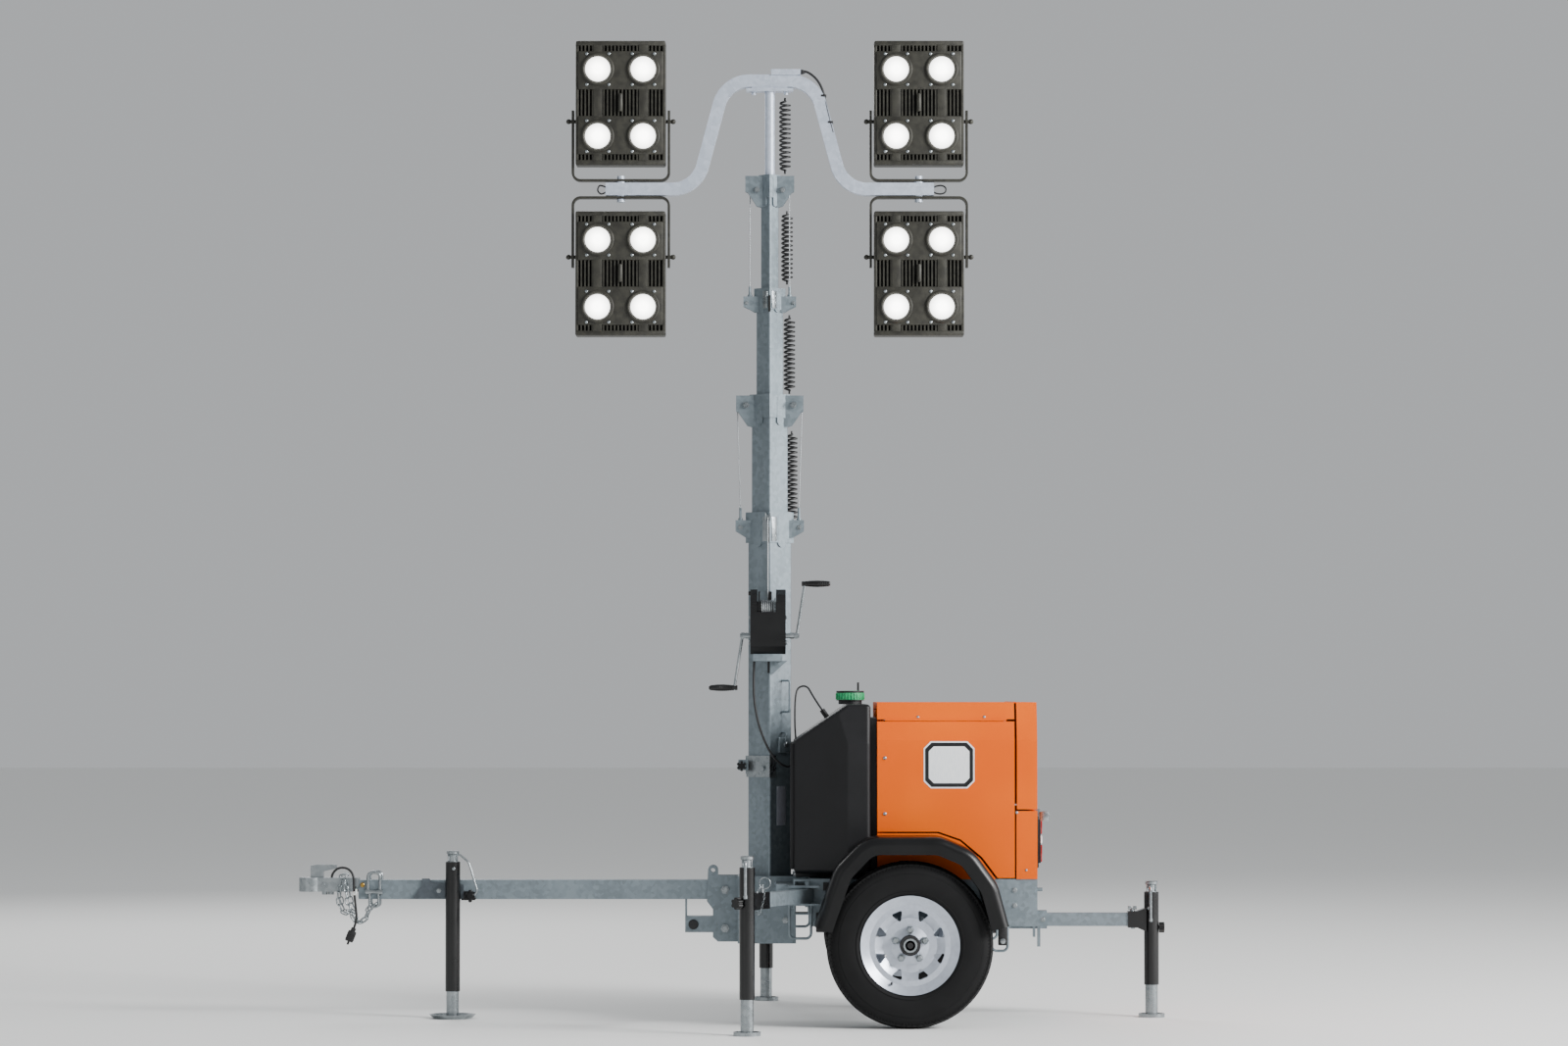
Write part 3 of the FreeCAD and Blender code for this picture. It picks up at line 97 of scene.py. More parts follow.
def object_noise(tree, per_metre, detail=2.0, stretch=(1.0, 1.0, 1.0)):
    """Noise on object coordinates with so many cells in a metre."""
    place = add_node(tree, "ShaderNodeTexCoord").outputs["Object"]
    scaled = add_node(tree, "ShaderNodeMapping", {"Vector": place, "Scale": stretch}).outputs["Vector"]
    return add_node(tree, "ShaderNodeTexNoise", {"Vector": scaled, "Scale": per_metre, "Detail": detail}).outputs["Fac"]


def between(tree, factor, low, high, start=0.35, stop=0.65):
    """A colour or grey that follows a factor from one hex colour to another."""
    ramp = add_node(tree, "ShaderNodeValToRGB", {"Fac": factor})
    ramp.color_ramp.elements[0].position = start
    ramp.color_ramp.elements[1].position = stop
    ramp.color_ramp.elements[0].color = linear(low)
    ramp.color_ramp.elements[1].color = linear(high)
    return ramp.outputs["Color"]


def spread(tree, factor, low, high):
    """A number that follows a factor between two values."""
    return add_node(tree, "ShaderNodeMapRange", {"Value": factor, "To Min": low, "To Max": high}).outputs["Result"]


def relief(tree, shader, height, depth, strength=1.0):
    """Bump of a real depth in metres on a shader."""
    bump = add_node(tree, "ShaderNodeBump", {"Height": height, "Distance": depth, "Strength": strength})
    tree.links.new(bump.outputs["Normal"], shader.inputs["Normal"])


camera_data = bpy.data.cameras.new("side_camera")
camera_data.lens = CAMERA_LENS
camera_data.sensor_width = 36.0
camera_data.clip_end = 300.0
camera = bpy.data.objects.new("side_camera", camera_data)
camera.location = CAMERA_PLACE
camera.rotation_euler = (math.pi / 2 + CAMERA_PITCH, 0.0, CAMERA_YAW)
bpy.context.scene.collection.objects.link(camera)
bpy.context.scene.camera = camera

world = bpy.data.worlds.new("studio")
world.use_nodes = True
world.node_tree.nodes["Background"].inputs["Color"].default_value = linear(SKY_COLOUR)
world.node_tree.nodes["Background"].inputs["Strength"].default_value = 0.55
bpy.context.scene.world = world
for name, place, aim, size, watts in SOFT_LIGHTS:
    light_data = bpy.data.lights.new(name, "AREA")
    light_data.size = size
    light_data.energy = watts
    light = bpy.data.objects.new(name, light_data)
    light.location = place
    light.rotation_euler = (Vector(aim) - Vector(place)).to_track_quat("-Z", "Y").to_euler()
    bpy.context.scene.collection.objects.link(light)

floor_mesh = bpy.data.meshes.new("floor")
corners = [(-FLOOR_HALF, -FLOOR_HALF, 0), (FLOOR_HALF, -FLOOR_HALF, 0), (FLOOR_HALF, FLOOR_HALF, 0), (-FLOOR_HALF, FLOOR_HALF, 0)]
floor_mesh.from_pydata(corners, [], [(0, 1, 2, 3)])
floor = bpy.data.objects.new("floor", floor_mesh)
floor_paint, floor_tree, floor_shader = start_material("matt_floor_paint", {"Base Color": linear(FLOOR_COLOUR), "Roughness": 0.7})
floor_mesh.materials.append(floor_paint)
bpy.context.scene.collection.objects.link(floor)


# Trailer cable: a black sheathed lead from the coupler that hangs beside it and ends in a
# moulded flat plug with a white tie. Its route is the one that its tube has in the model.
CABLE_DIAMETER = 0.009
CABLE_ROUTE = (
    (-1.523, -0.030, 0.529),
    (-1.523, -0.036, 0.5448),
    (-1.4978, -0.048, 0.570),
    (-1.4622, -0.058, 0.570),
    (-1.437, -0.060, 0.5448),
    (-1.4365, -0.060, 0.490),
    (-1.430, -0.060, 0.430),
    (-1.4236, -0.060, 0.372),
    (-1.436, -0.060, 0.340),
)


def sheath_rubber():
    """Black cable sheath: extruded rubber, faintly dusty and matt."""
    material, tree, shader = start_material("extruded_rubber_sheath", {"Roughness": 0.5, "IOR": 1.5})
    grain = object_noise(tree, 180.0)
    tree.links.new(between(tree, grain, "#0D0D0E", "#1D1D1F"), shader.inputs["Base Color"])
    relief(tree, shader, grain, 0.0002, 0.4)
    return material


def nurbs_curve(name, points, radius, material, sides=4):
    """A smooth round cord through the hull of its route."""
    data = bpy.data.curves.new(name, "CURVE")
    data.dimensions = "3D"
    data.bevel_depth = radius
    data.bevel_resolution = sides
    data.use_fill_caps = True
    line = data.splines.new("NURBS")
    line.points.add(len(points) - 1)
    for control, place in zip(line.points, points):
        control.co = (*place, 1.0)
    line.order_u = 3
    line.use_endpoint_u = True
    line.resolution_u = 8
    data.materials.append(material)
    made = bpy.data.objects.new(name, data)
    bpy.context.scene.collection.objects.link(made)
    return made


def finished(name, shape, material, body, smooth=35.0):
    """A mesh piece from a bmesh, with outward normals, that rides on its body."""
    bmesh.ops.recalc_face_normals(shape, faces=shape.faces)
    mesh = bpy.data.meshes.new(name)
    shape.to_mesh(mesh)
    shape.free()
    for one in material if isinstance(material, (list, tuple)) else [material]:
        mesh.materials.append(one)
    for face in mesh.polygons:
        face.use_smooth = True
    mesh.set_sharp_from_angle(angle=math.radians(smooth))
    made = bpy.data.objects.new(name, mesh)
    bpy.context.scene.collection.objects.link(made)
    if body:
        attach(made, body)
    return made


def add_block(shape, low, high, bevel=0.0, turn=None, index=0):
    """Adds a box between two corners, with rounded edges, turned by a matrix."""
    part = bmesh.new()
    bmesh.ops.create_cube(part, size=1.0)
    size = [b - a for a, b in zip(low, high)]
    middle = [(a + b) / 2 for a, b in zip(low, high)]
    bmesh.ops.transform(part, matrix=Matrix.Translation(middle) @ Matrix.Diagonal((*size, 1.0)), verts=part.verts)
    if bevel:
        bmesh.ops.bevel(part, geom=part.edges[:], offset=bevel, segments=2, profile=0.5, affect="EDGES")
    pour(part, shape, turn, index)


def pour(part, shape, turn=None, index=0):
    """Moves a small bmesh into a larger one."""
    if turn is not None:
        bmesh.ops.transform(part, matrix=turn, verts=part.verts)
    for face in part.faces:
        face.material_index = index
    mesh = bpy.data.meshes.new("part")
    part.to_mesh(mesh)
    part.free()
    shape.from_mesh(mesh)
    bpy.data.meshes.remove(mesh)


def add_turned(shape, profile, place, axis, sides=24, index=0):
    """Adds a turned form: pairs of distance along the axis and radius, closed on the axis."""
    part = bmesh.new()
    rings = []
    for along, radius in profile:
        if radius < 1e-6:
            rings.append([part.verts.new((0, 0, along))])
            continue
        turn = [2 * math.pi * i / sides for i in range(sides)]
        rings.append([part.verts.new((radius * math.cos(a), radius * math.sin(a), along)) for a in turn])
    for a, b in zip(rings, rings[1:]):
        for i in range(sides):
            j = (i + 1) % sides
            if len(a) == 1 and len(b) > 1:
                part.faces.new((a[0], b[i], b[j]))
            elif len(b) == 1 and len(a) > 1:
                part.faces.new((a[j], a[i], b[0]))
            elif len(a) > 1:
                part.faces.new((a[i], a[j], b[j], b[i]))
    for end, ring in ((0, rings[0]), (1, rings[-1])):
        if len(ring) > 1:
            part.faces.new(ring if end else ring[::-1])
    turn = Matrix.Translation(place) @ Vector(axis).to_track_quat("Z", "Y").to_matrix().to_4x4()
    pour(part, shape, turn, index)


def add_tube(shape, points, radius, sides=10, closed=False, index=0):
    """Adds a round tube along a line of points."""
    part = bmesh.new()
    places = [Vector(p) for p in points]
    count = len(places)
    rings = []
    side = None
    for number, place in enumerate(places):
        before = places[number - 1] if number or closed else place
        after = places[(number + 1) % count] if number < count - 1 or closed else place
        ahead = (after - before).normalized()
        if side is None:
            side = ahead.orthogonal().normalized()
        side = (side - ahead * side.dot(ahead)).normalized()
        up = ahead.cross(side)
        ring = [place + (side * math.cos(a) + up * math.sin(a)) * radius for a in (2 * math.pi * i / sides for i in range(sides))]
        rings.append([part.verts.new(p) for p in ring])
    pairs = list(zip(rings, rings[1:]))
    if closed:
        pairs.append((rings[-1], rings[0]))
    for a, b in pairs:
        for i in range(sides):
            j = (i + 1) % sides
            part.faces.new((a[i], a[j], b[j], b[i]))
    if not closed:
        part.faces.new(rings[0][::-1])
        part.faces.new(rings[-1])
    pour(part, shape, None, index)


cable_rubber = sheath_rubber()
tow_cable = nurbs_curve("tow_cable_lead", CABLE_ROUTE, CABLE_DIAMETER / 2, cable_rubber)
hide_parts("tow_cable")
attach(tow_cable, "trailer")

plug_shape = bmesh.new()
lean = Matrix.Translation(CABLE_ROUTE[-1]) @ Matrix.Rotation(0.375, 4, "Y")
add_block(plug_shape, (-0.0155, -0.010, -0.053), (0.0155, 0.010, -0.011), 0.004, lean)
add_block(plug_shape, (-0.009, -0.008, -0.014), (0.009, 0.008, 0.002), 0.003, lean)
add_block(plug_shape, (-0.004, -0.004, -0.066), (0.004, 0.004, -0.050), 0.0015, lean)
for step in range(4):
    z = -0.045 + step * 0.007
    add_block(plug_shape, (-0.0165, -0.011, z), (0.0165, 0.011, z + 0.003), 0.001, lean)
tow_plug = finished("tow_plug_moulding", plug_shape, cable_rubber, "trailer")
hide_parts("tow_plug")


# Galvanised steelwork: frame, drawbar, mast, outriggers and yokes are welded from steel tube
# and plate and dipped in zinc, which leaves a blue-grey skin with faint crystals and runs.
SPANGLE_PER_METRE = 70.0
GALVANISED_NODES = (
    "chassis", "mast_socket", "drawbar", "axle", "mast_1", "mast_2", "mast_3", "mast_4",
    "outrigger_near", "outrigger_far", "rear_beam",
)


def dipped_zinc(name, dark, light, metallic, roughness):
    """Hot-dip galvanising: crystals of 15 mm, drawn at their real size, and long soft runs."""
    material, tree, shader = start_material(name, {"Metallic": metallic})
    place = add_node(tree, "ShaderNodeTexCoord").outputs["Object"]
    crystals = add_node(tree, "ShaderNodeTexVoronoi", {"Vector": place, "Scale": SPANGLE_PER_METRE})
    grey = add_node(tree, "ShaderNodeSeparateColor", {"Color": crystals.outputs["Color"]}).outputs["Red"]
    runs = object_noise(tree, 9.0, 3.0, (1.0, 1.0, 0.35))
    mixed = add_node(tree, "ShaderNodeMix", {0: 0.35, 2: runs, 3: grey}).outputs[0]
    tree.links.new(between(tree, mixed, dark, light, 0.3, 0.7), shader.inputs["Base Color"])
    tree.links.new(spread(tree, mixed, roughness - 0.08, roughness + 0.1), shader.inputs["Roughness"])
    relief(tree, shader, object_noise(tree, 300.0), 0.0002, 0.25)
    return material


galvanised = dipped_zinc("hot_dip_galvanised_steel", "#717C82", "#838F96", 0.5, 0.42)
bright_zinc = dipped_zinc("bright_zinc_plated_steel", "#8F9699", "#A4AAAD", 0.9, 0.28)
pale_zinc = dipped_zinc("pale_galvanised_arm_tube", "#B3BCCA", "#C3CCDA", 0.3, 0.4)


def dress(names, material):
    """Gives carried-over solids a finish."""
    for name in names:
        NODES[name].data.materials.clear()
        NODES[name].data.materials.append(material)


dress(GALVANISED_NODES, galvanised)
dress(("lamp_arm", "mast_5"), pale_zinc)


# Cabinet: folded sheet steel panels, powder coated in gloss orange with the fine ripple that
# a cured coat has.
PANEL_NODES = ("bulkhead", "door_near", "door_far", "arch_panels", "roof", "rear_panel", "rear_hatch")


def powder_coat():
    """Gloss orange powder coat with an orange-peel ripple of 3 mm."""
    material, tree, shader = start_material("orange_powder_coat", {"Roughness": 0.42, "IOR": 1.45, "Specular IOR Level": 0.12})
    broad = object_noise(tree, 2.5)
    tree.links.new(between(tree, broad, "#E25C00", "#EC6600"), shader.inputs["Base Color"])
    relief(tree, shader, object_noise(tree, 330.0, 1.0), 0.00012, 0.5)
    return material


orange_coat = powder_coat()
dress(PANEL_NODES, orange_coat)


# Tank and fenders: the tank is rotation-moulded black polyethylene with a fine pebbled skin,
# and the fenders are glossier moulded polypropylene.
def moulded_black(name, dark, light, roughness, pebble_per_metre, depth):
    """Black moulded plastic with a pebbled skin."""
    material, tree, shader = start_material(name, {"IOR": 1.5, "Specular IOR Level": 0.35})
    broad = object_noise(tree, 7.0)
    tree.links.new(between(tree, broad, dark, light), shader.inputs["Base Color"])
    tree.links.new(spread(tree, broad, roughness - 0.06, roughness + 0.08), shader.inputs["Roughness"])
    relief(tree, shader, object_noise(tree, pebble_per_metre, 2.0), depth, 0.8)
    return material


tank_skin = moulded_black("rotomoulded_black_polyethylene", "#0A0A0C", "#101013", 0.48, 420.0, 0.0005)
fender_skin = moulded_black("moulded_black_polypropylene", "#060607", "#0B0B0C", 0.3, 520.0, 0.0002)
dress(("tank",), tank_skin)
dress(("fender_near", "fender_far"), fender_skin)


# Tank edges: the moulding's parting flange along both front edges, which reaches over the mast's right corner as a dark
# strip of painted shade, and the rubber strips that the tank stands on, which also close the gap under its front with
# dark as painted shade.
shape = bmesh.new()
for side in (-1, 1):
    low, high = sorted((side * 0.128, side * 0.338))
    # the flange's inner edge stands over the mast's right corner: a dark strip as painted shade of the tank
    add_block(shape, (0.2232, low, 0.574), (0.2380, high, 1.046), 0.0025)
    low, high = sorted((side * 0.150, side * 0.344))
    # strips under the tank's front, in the tank's black: dark filling of the gap there as painted shade
    add_block(shape, (0.2420, low, 0.5452), (0.3300, high, 0.5612), 0.002)
finished("tank_flange", shape, tank_skin, "trailer")


# Painted black fittings: jack tubes, winch and cranks carry a gloss black enamel over steel.
def gloss_enamel():
    """Gloss black enamel, slightly uneven."""
    material, tree, shader = start_material("gloss_black_enamel", {"IOR": 1.5, "Specular IOR Level": 0.4, "Coat Weight": 0.2, "Coat Roughness": 0.08})
    broad = object_noise(tree, 12.0)
    tree.links.new(between(tree, broad, "#070708", "#0D0D0E"), shader.inputs["Base Color"])
    tree.links.new(spread(tree, broad, 0.22, 0.36), shader.inputs["Roughness"])
    relief(tree, shader, object_noise(tree, 260.0, 1.0), 0.0001, 0.4)
    return material


black_enamel = gloss_enamel()
dress(("winch", "winch_cranks", "jack_tube_front", "jack_tube_rear", "jack_tube_side_near", "jack_tube_side_far"), black_enamel)
dress(("coupler", "jack_leg_front", "jack_leg_rear", "jack_leg_side_near", "jack_leg_side_far"), bright_zinc)


# Engine: one plain block inside the cabinet, cast iron under grey primer.
def primed_iron():
    """Cast iron with the coarse skin of a sand mould under grey primer."""
    material, tree, shader = start_material("primed_cast_iron", {"Roughness": 0.7, "Metallic": 0.2})
    grain = object_noise(tree, 240.0, 3.0)
    tree.links.new(between(tree, grain, "#38393B", "#55575A"), shader.inputs["Base Color"])
    relief(tree, shader, grain, 0.0008, 0.7)
    return material


dress(("engine",), primed_iron())


# Tail lamps: red moulded acrylic lenses on black bases, ribbed inside.
def red_acrylic():
    """Red acrylic lens with fine upright ribs 4 mm apart."""
    material, tree, shader = start_material("red_acrylic_lens", {"Roughness": 0.12, "IOR": 1.49, "Coat Weight": 0.6})
    place = add_node(tree, "ShaderNodeTexCoord").outputs["Object"]
    ribs = add_node(tree, "ShaderNodeTexWave", {"Vector": place, "Scale": 39.0}, bands_direction="Y").outputs["Fac"]
    tree.links.new(between(tree, ribs, "#5A0508", "#8E0D12", 0.2, 0.8), shader.inputs["Base Color"])
    relief(tree, shader, ribs, 0.0006, 0.6)
    return material


dress(("tail_lamps",), red_acrylic())


# Yokes: flat bar bent to a U and painted the same olive grey as the lamp heads.
def lamp_grey():
    """Olive-grey baked enamel on die-cast aluminium."""
    material, tree, shader = start_material("olive_grey_die_cast_enamel", {"Metallic": 0.25, "IOR": 1.5})
    grain = object_noise(tree, 40.0, 3.0)
    tree.links.new(between(tree, grain, "#2C2B26", "#3A3932"), shader.inputs["Base Color"])
    tree.links.new(spread(tree, grain, 0.4, 0.55), shader.inputs["Roughness"])
    relief(tree, shader, object_noise(tree, 700.0, 1.0), 0.0002, 0.6)
    return material


LAMP_NAMES = ("left_upper", "right_upper", "left_lower", "right_lower")
lamp_enamel = lamp_grey()
dress(["yoke_" + name for name in LAMP_NAMES], lamp_enamel)


# Lamp heads: die-cast aluminium housings, each with two modules of two round lenses, and
# upright cooling fins behind, seen through the band between the modules and along the ends.
LAMP_HALF_WIDTH = 0.172
LAMP_HALF_HEIGHT = 0.2385
LAMP_FRONT_Y = -0.058
LAMP_RECESS_Y = -0.018
LAMP_BACK_Y = 0.058
LENS_X = 0.087
LENS_Z = 0.1285
GLOW_R = 0.050
RING_R = 0.063
BAND_HALF = 0.050
END_ROW = (0.199, 0.2185)
FIN_PITCH = 0.0142
FIN_WIDTH = 0.0062
LAMP_X = {"left_upper": -0.426, "left_lower": -0.426, "right_upper": 0.716, "right_lower": 0.716}
LAMP_Z = {"left_upper": 3.4905, "right_upper": 3.4905, "left_lower": 2.8365, "right_lower": 2.8365}


def fin_rows():
    """A tree that repeats one fin along X: count, pitch, size and first place are its inputs."""
    tree = bpy.data.node_groups.new("cooling_fins", "GeometryNodeTree")
    for name, kind in (("Count", "NodeSocketInt"), ("Pitch", "NodeSocketFloat"), ("Fin Size", "NodeSocketVector"),
                       ("First", "NodeSocketVector"), ("Finish", "NodeSocketMaterial")):
        tree.interface.new_socket(name=name, in_out="INPUT", socket_type=kind)
    tree.interface.new_socket(name="Geometry", in_out="OUTPUT", socket_type="NodeSocketGeometry")
    given = tree.nodes.new("NodeGroupInput")
    step = add_node(tree, "ShaderNodeCombineXYZ", {"X": given.outputs["Pitch"]}).outputs[0]
    line = add_node(tree, "GeometryNodeMeshLine", {"Count": given.outputs["Count"], "Start Location": given.outputs["First"], "Offset": step})
    fin = add_node(tree, "GeometryNodeMeshCube", {"Size": given.outputs["Fin Size"]})
    copies = add_node(tree, "GeometryNodeInstanceOnPoints", {"Points": line.outputs[0], "Instance": fin.outputs[0]})
    real = add_node(tree, "GeometryNodeRealizeInstances", {"Geometry": copies.outputs[0]})
    coated = add_node(tree, "GeometryNodeSetMaterial", {"Geometry": real.outputs[0], "Material": given.outputs["Finish"]})
    add_node(tree, "NodeGroupOutput", {"Geometry": coated.outputs[0]})
    return tree


def grown(name, tree, values, base=None):
    """The plain mesh that a node tree gives; inputs are set by their sockets' identifiers."""
    carrier = bpy.data.objects.new(name, base or bpy.data.meshes.new(name))
    bpy.context.scene.collection.objects.link(carrier)
    grower = carrier.modifiers.new("grow", "NODES")
    grower.node_group = tree
    for item in tree.interface.items_tree:
        if item.item_type == "SOCKET" and item.in_out == "INPUT" and item.name in values:
            grower[item.identifier] = values[item.name]
    bpy.context.view_layer.update()
    depsgraph = bpy.context.evaluated_depsgraph_get()
    mesh = bpy.data.meshes.new_from_object(carrier.evaluated_get(depsgraph), depsgraph=depsgraph)
    carrier.modifiers.remove(grower)
    bpy.data.objects.remove(carrier)
    return mesh


def glowing_lens():
    """Glass over white diodes that are lit: white in the middle, softer towards the rim."""
    material, tree, shader = start_material("lit_diode_lens", {"Roughness": 0.1, "IOR": 1.5, "Base Color": linear("#F4F7FA")})
    place = add_node(tree, "ShaderNodeUVMap", uv_map="lens").outputs["UV"]
    away = add_node(tree, "ShaderNodeVectorMath", {0: place}, operation="LENGTH").outputs["Value"]
    glow = add_node(tree, "ShaderNodeMapRange", {"Value": away, "From Min": 0.3, "From Max": 1.0, "To Min": 9.0, "To Max": 2.2}).outputs["Result"]
    tree.links.new(glow, shader.inputs["Emission Strength"])
    shader.inputs["Emission Color"].default_value = linear("#FFFDF6")
    return material


fin_tree = fin_rows()
lens_glow = glowing_lens()
# near-black recess colour: painted shade in the lamp recesses and in the rope slots
recess_painted_shade = moulded_black("painted_shade_in_recesses", "#0E0E0D", "#171716", 0.6, 300.0, 0.0002)


def add_lens(shape, x, z, index):
    """Adds a domed lens with its own disc coordinates."""
    part = bmesh.new()
    layer = part.loops.layers.uv.new("lens")
    sides = 32
    rows = ((1.0, 0.0), (0.8, 0.0025), (0.5, 0.005), (0.2, 0.006))
    rings = []
    for share, rise in rows:
        angles = [2 * math.pi * i / sides for i in range(sides)]
        rings.append([part.verts.new((x + GLOW_R * share * math.cos(a), LAMP_FRONT_Y - 0.004 - rise, z + GLOW_R * share * math.sin(a))) for a in angles])
    for a, b in zip(rings, rings[1:]):
        for i in range(sides):
            j = (i + 1) % sides
            part.faces.new((a[i], b[i], b[j], a[j]))
    part.faces.new(rings[-1])
    back = [part.verts.new((v.co.x, LAMP_FRONT_Y, v.co.z)) for v in rings[0]]
    for i in range(sides):
        j = (i + 1) % sides
        part.faces.new((rings[0][i], rings[0][j], back[j], back[i]))
    part.faces.new(back)
    for face in part.faces:
        for loop in face.loops:
            loop[layer].uv = ((loop.vert.co.x - x) / GLOW_R, (loop.vert.co.z - z) / GLOW_R)
    pour(part, shape, None, index)


def lamp_head(name):
    """One lamp head as a single mesh that stands in for its solid."""
    shape = bmesh.new()
    w, h = LAMP_HALF_WIDTH, LAMP_HALF_HEIGHT
    shape.loops.layers.uv.new("lens")
    # recess panel behind the fins, near black as painted shade
    add_block(shape, (-w + 0.004, LAMP_RECESS_Y, -h + 0.008), (w - 0.004, LAMP_RECESS_Y + 0.014, h - 0.008), 0.003, index=1)
    for low, high in ((BAND_HALF, END_ROW[0]), (-END_ROW[0], -BAND_HALF)):
        add_block(shape, (-w + 0.008, LAMP_FRONT_Y, low), (w - 0.008, LAMP_RECESS_Y + 0.004, high), 0.006)
    for side in (-1, 1):
        add_block(shape, (side * (w - 0.006) - 0.006, LAMP_FRONT_Y + 0.006, -h + 0.004), (side * (w - 0.006) + 0.006, LAMP_BACK_Y - 0.01, h - 0.004), 0.003)
        rail = sorted((side * END_ROW[1], side * (h + 0.0)))
        add_block(shape, (-w, LAMP_FRONT_Y + 0.002, rail[0]), (w, LAMP_BACK_Y - 0.012, rail[1]), 0.006)
        add_turned(shape, ((0.0, 0.0), (0.0, 0.020), (0.0045, 0.018), (0.0045, 0.0)), (side * (w - 0.004), 0.0, LAMP_PIVOT[name]), (side, 0, 0), 20)
    for x in (-LENS_X, LENS_X):
        for low, high in ((-BAND_HALF, BAND_HALF), END_ROW, (-END_ROW[1], -END_ROW[0])):
            add_block(shape, (x - 0.017, LAMP_FRONT_Y + 0.001, low - 0.004), (x + 0.017, LAMP_RECESS_Y + 0.006, high + 0.004), 0.001)
    add_turned(shape, ((-0.034, 0.0), (-0.034, 0.0075), (-0.031, 0.009), (0.031, 0.009), (0.034, 0.0075), (0.034, 0.0)), (0.0, LAMP_FRONT_Y - 0.006, 0.0), (0, 0, 1), 20)
    for rows in ((-BAND_HALF, BAND_HALF, 22), (END_ROW[0], END_ROW[1], 22), (-END_ROW[1], -END_ROW[0], 22)):
        low, high, count = rows
        values = {"Count": count, "Pitch": FIN_PITCH, "Fin Size": (FIN_WIDTH, 0.036, high - low + 0.004),
                  "First": (-FIN_PITCH * (count - 1) / 2, LAMP_FRONT_Y + 0.022, (low + high) / 2), "Finish": lamp_enamel}
        mesh = grown("fin_row", fin_tree, values)
        for face in mesh.polygons:
            face.material_index = 0
        shape.from_mesh(mesh)
    back_fins = {"Count": 23, "Pitch": FIN_PITCH, "Fin Size": (0.0035, 0.058, 2 * h - 0.05),
                 "First": (-FIN_PITCH * 11, LAMP_BACK_Y - 0.030, 0.0), "Finish": lamp_enamel}
    shape.from_mesh(grown("back_fins", fin_tree, back_fins))
    for face in shape.faces:
        if face.material_index > 3:
            face.material_index = 0
    ring = ((0.0, GLOW_R - 0.002), (0.0, RING_R), (0.005, RING_R), (0.009, RING_R - 0.004), (0.009, GLOW_R + 0.004), (0.003, GLOW_R - 0.002))
    for x in (-LENS_X, LENS_X):
        for z in (-LENS_Z, LENS_Z):
            add_turned(shape, ((0.0, 0.0),) + ring[1:5] + ((0.0045, GLOW_R - 0.001), (0.0045, 0.0)), (x, LAMP_FRONT_Y, z), (0, -1, 0), 36)
            add_lens(shape, x, z, 2)
            for dx in (-0.052, 0.052):
                for dz in (-0.059, 0.059):
                    add_turned(shape, ((-0.001, 0.0), (-0.001, 0.006), (0.003, 0.0055), (0.0045, 0.003), (0.0045, 0.0)), (x + dx * 0.82, LAMP_FRONT_Y, z + dz), (0, -1, 0), 10, 3)
    bmesh.ops.translate(shape, vec=(LAMP_X[name], 0.0, LAMP_Z[name]), verts=shape.verts)
    return finished("lamp_head_" + name, shape, [lamp_enamel, recess_painted_shade, lens_glow, bright_zinc], "lamp_" + name)


LAMP_PIVOT = {"left_upper": -0.0665, "right_upper": -0.0665, "left_lower": 0.0665, "right_lower": 0.0665}
for name in LAMP_NAMES:
    head = lamp_head(name)
    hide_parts("lamp_" + name)


# Hoist ropes: seven-strand galvanised steel rope, four millimetres thick, from a threaded
# adjuster on each anchor up to the pulley of the next section.
ROPES = (  # node, lower body, upper body, top X, top Z, bottom X, bottom Z
    ("rope_lower", "mast_1", "mast_2", 0.1244, 2.335, 0.112, 1.9424),
    ("rope_upper", "mast_3", "mast_4", 0.0754, 3.160, 0.076, 2.7904),
)
MAST_X = 0.145


def stranded_steel():
    """Stranded steel rope: bright wires laid slantwise, one lay in 24 mm."""
    material, tree, shader = start_material("stranded_steel_rope", {"Metallic": 0.9, "Roughness": 0.4})
    place = add_node(tree, "ShaderNodeTexCoord").outputs["Object"]
    slant = add_node(tree, "ShaderNodeMapping", {"Vector": place, "Rotation": (0.0, 0.5, 0.0)}).outputs["Vector"]
    lay = add_node(tree, "ShaderNodeTexWave", {"Vector": slant, "Scale": 60.0}, bands_direction="Z").outputs["Fac"]
    tree.links.new(between(tree, lay, "#5B6064", "#C9CDCF", 0.2, 0.8), shader.inputs["Base Color"])
    relief(tree, shader, lay, 0.0006, 0.8)
    return material


rope_steel = stranded_steel()
for node, lower, upper, top_x, top_z, low_x, low_z in ROPES:
    shape = bmesh.new()
    for side in (-1, 1):
        add_tube(shape, ((MAST_X + side * low_x, 0, low_z), (MAST_X + side * top_x, 0, top_z)), 0.002, 8)
    rope = finished(node + "_strands", shape, rope_steel, None)
    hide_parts(node)
    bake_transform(rope)


# Curly cords: black retractile cord wound to 48 mm, one length between each two sections.
# The coils lean on straight tails at both ends.
COILS = (  # node, lower body, upper body, X, Y, bottom, top, turns
    ("curly_cord_1", "mast_1", "mast_2", 0.229, 0.060, 1.880, 2.240, 19),
    ("curly_cord_2", "mast_2", "mast_3", 0.220, 0.046, 2.380, 2.685, 16),
    ("curly_cord_3", "mast_3", "mast_4", 0.211, 0.040, 2.800, 3.085, 15),
    ("curly_cord_4", "mast_4", "mast_5", 0.203, 0.028, 3.225, 3.520, 15),
)
COIL_R = 0.0195
COIL_CORD_R = 0.004

for node, lower, upper, x, y, low, high, turns in COILS:
    points = [(x, y, low + 0.001)]
    steps = turns * 14
    for number in range(steps + 1):
        share = number / steps
        reach = COIL_R * min(1.0, number / 8, (steps - number) / 8)
        angle = 2 * math.pi * turns * share
        points.append((x + reach * math.cos(angle), y + reach * math.sin(angle), low + 0.012 + (high - low - 0.024) * share))
    points.append((x, y, high - 0.001))
    shape = bmesh.new()
    add_tube(shape, points, COIL_CORD_R, 6)
    coil = finished(node + "_coil", shape, cable_rubber, None, smooth=60.0)
    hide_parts(node)
    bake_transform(coil)


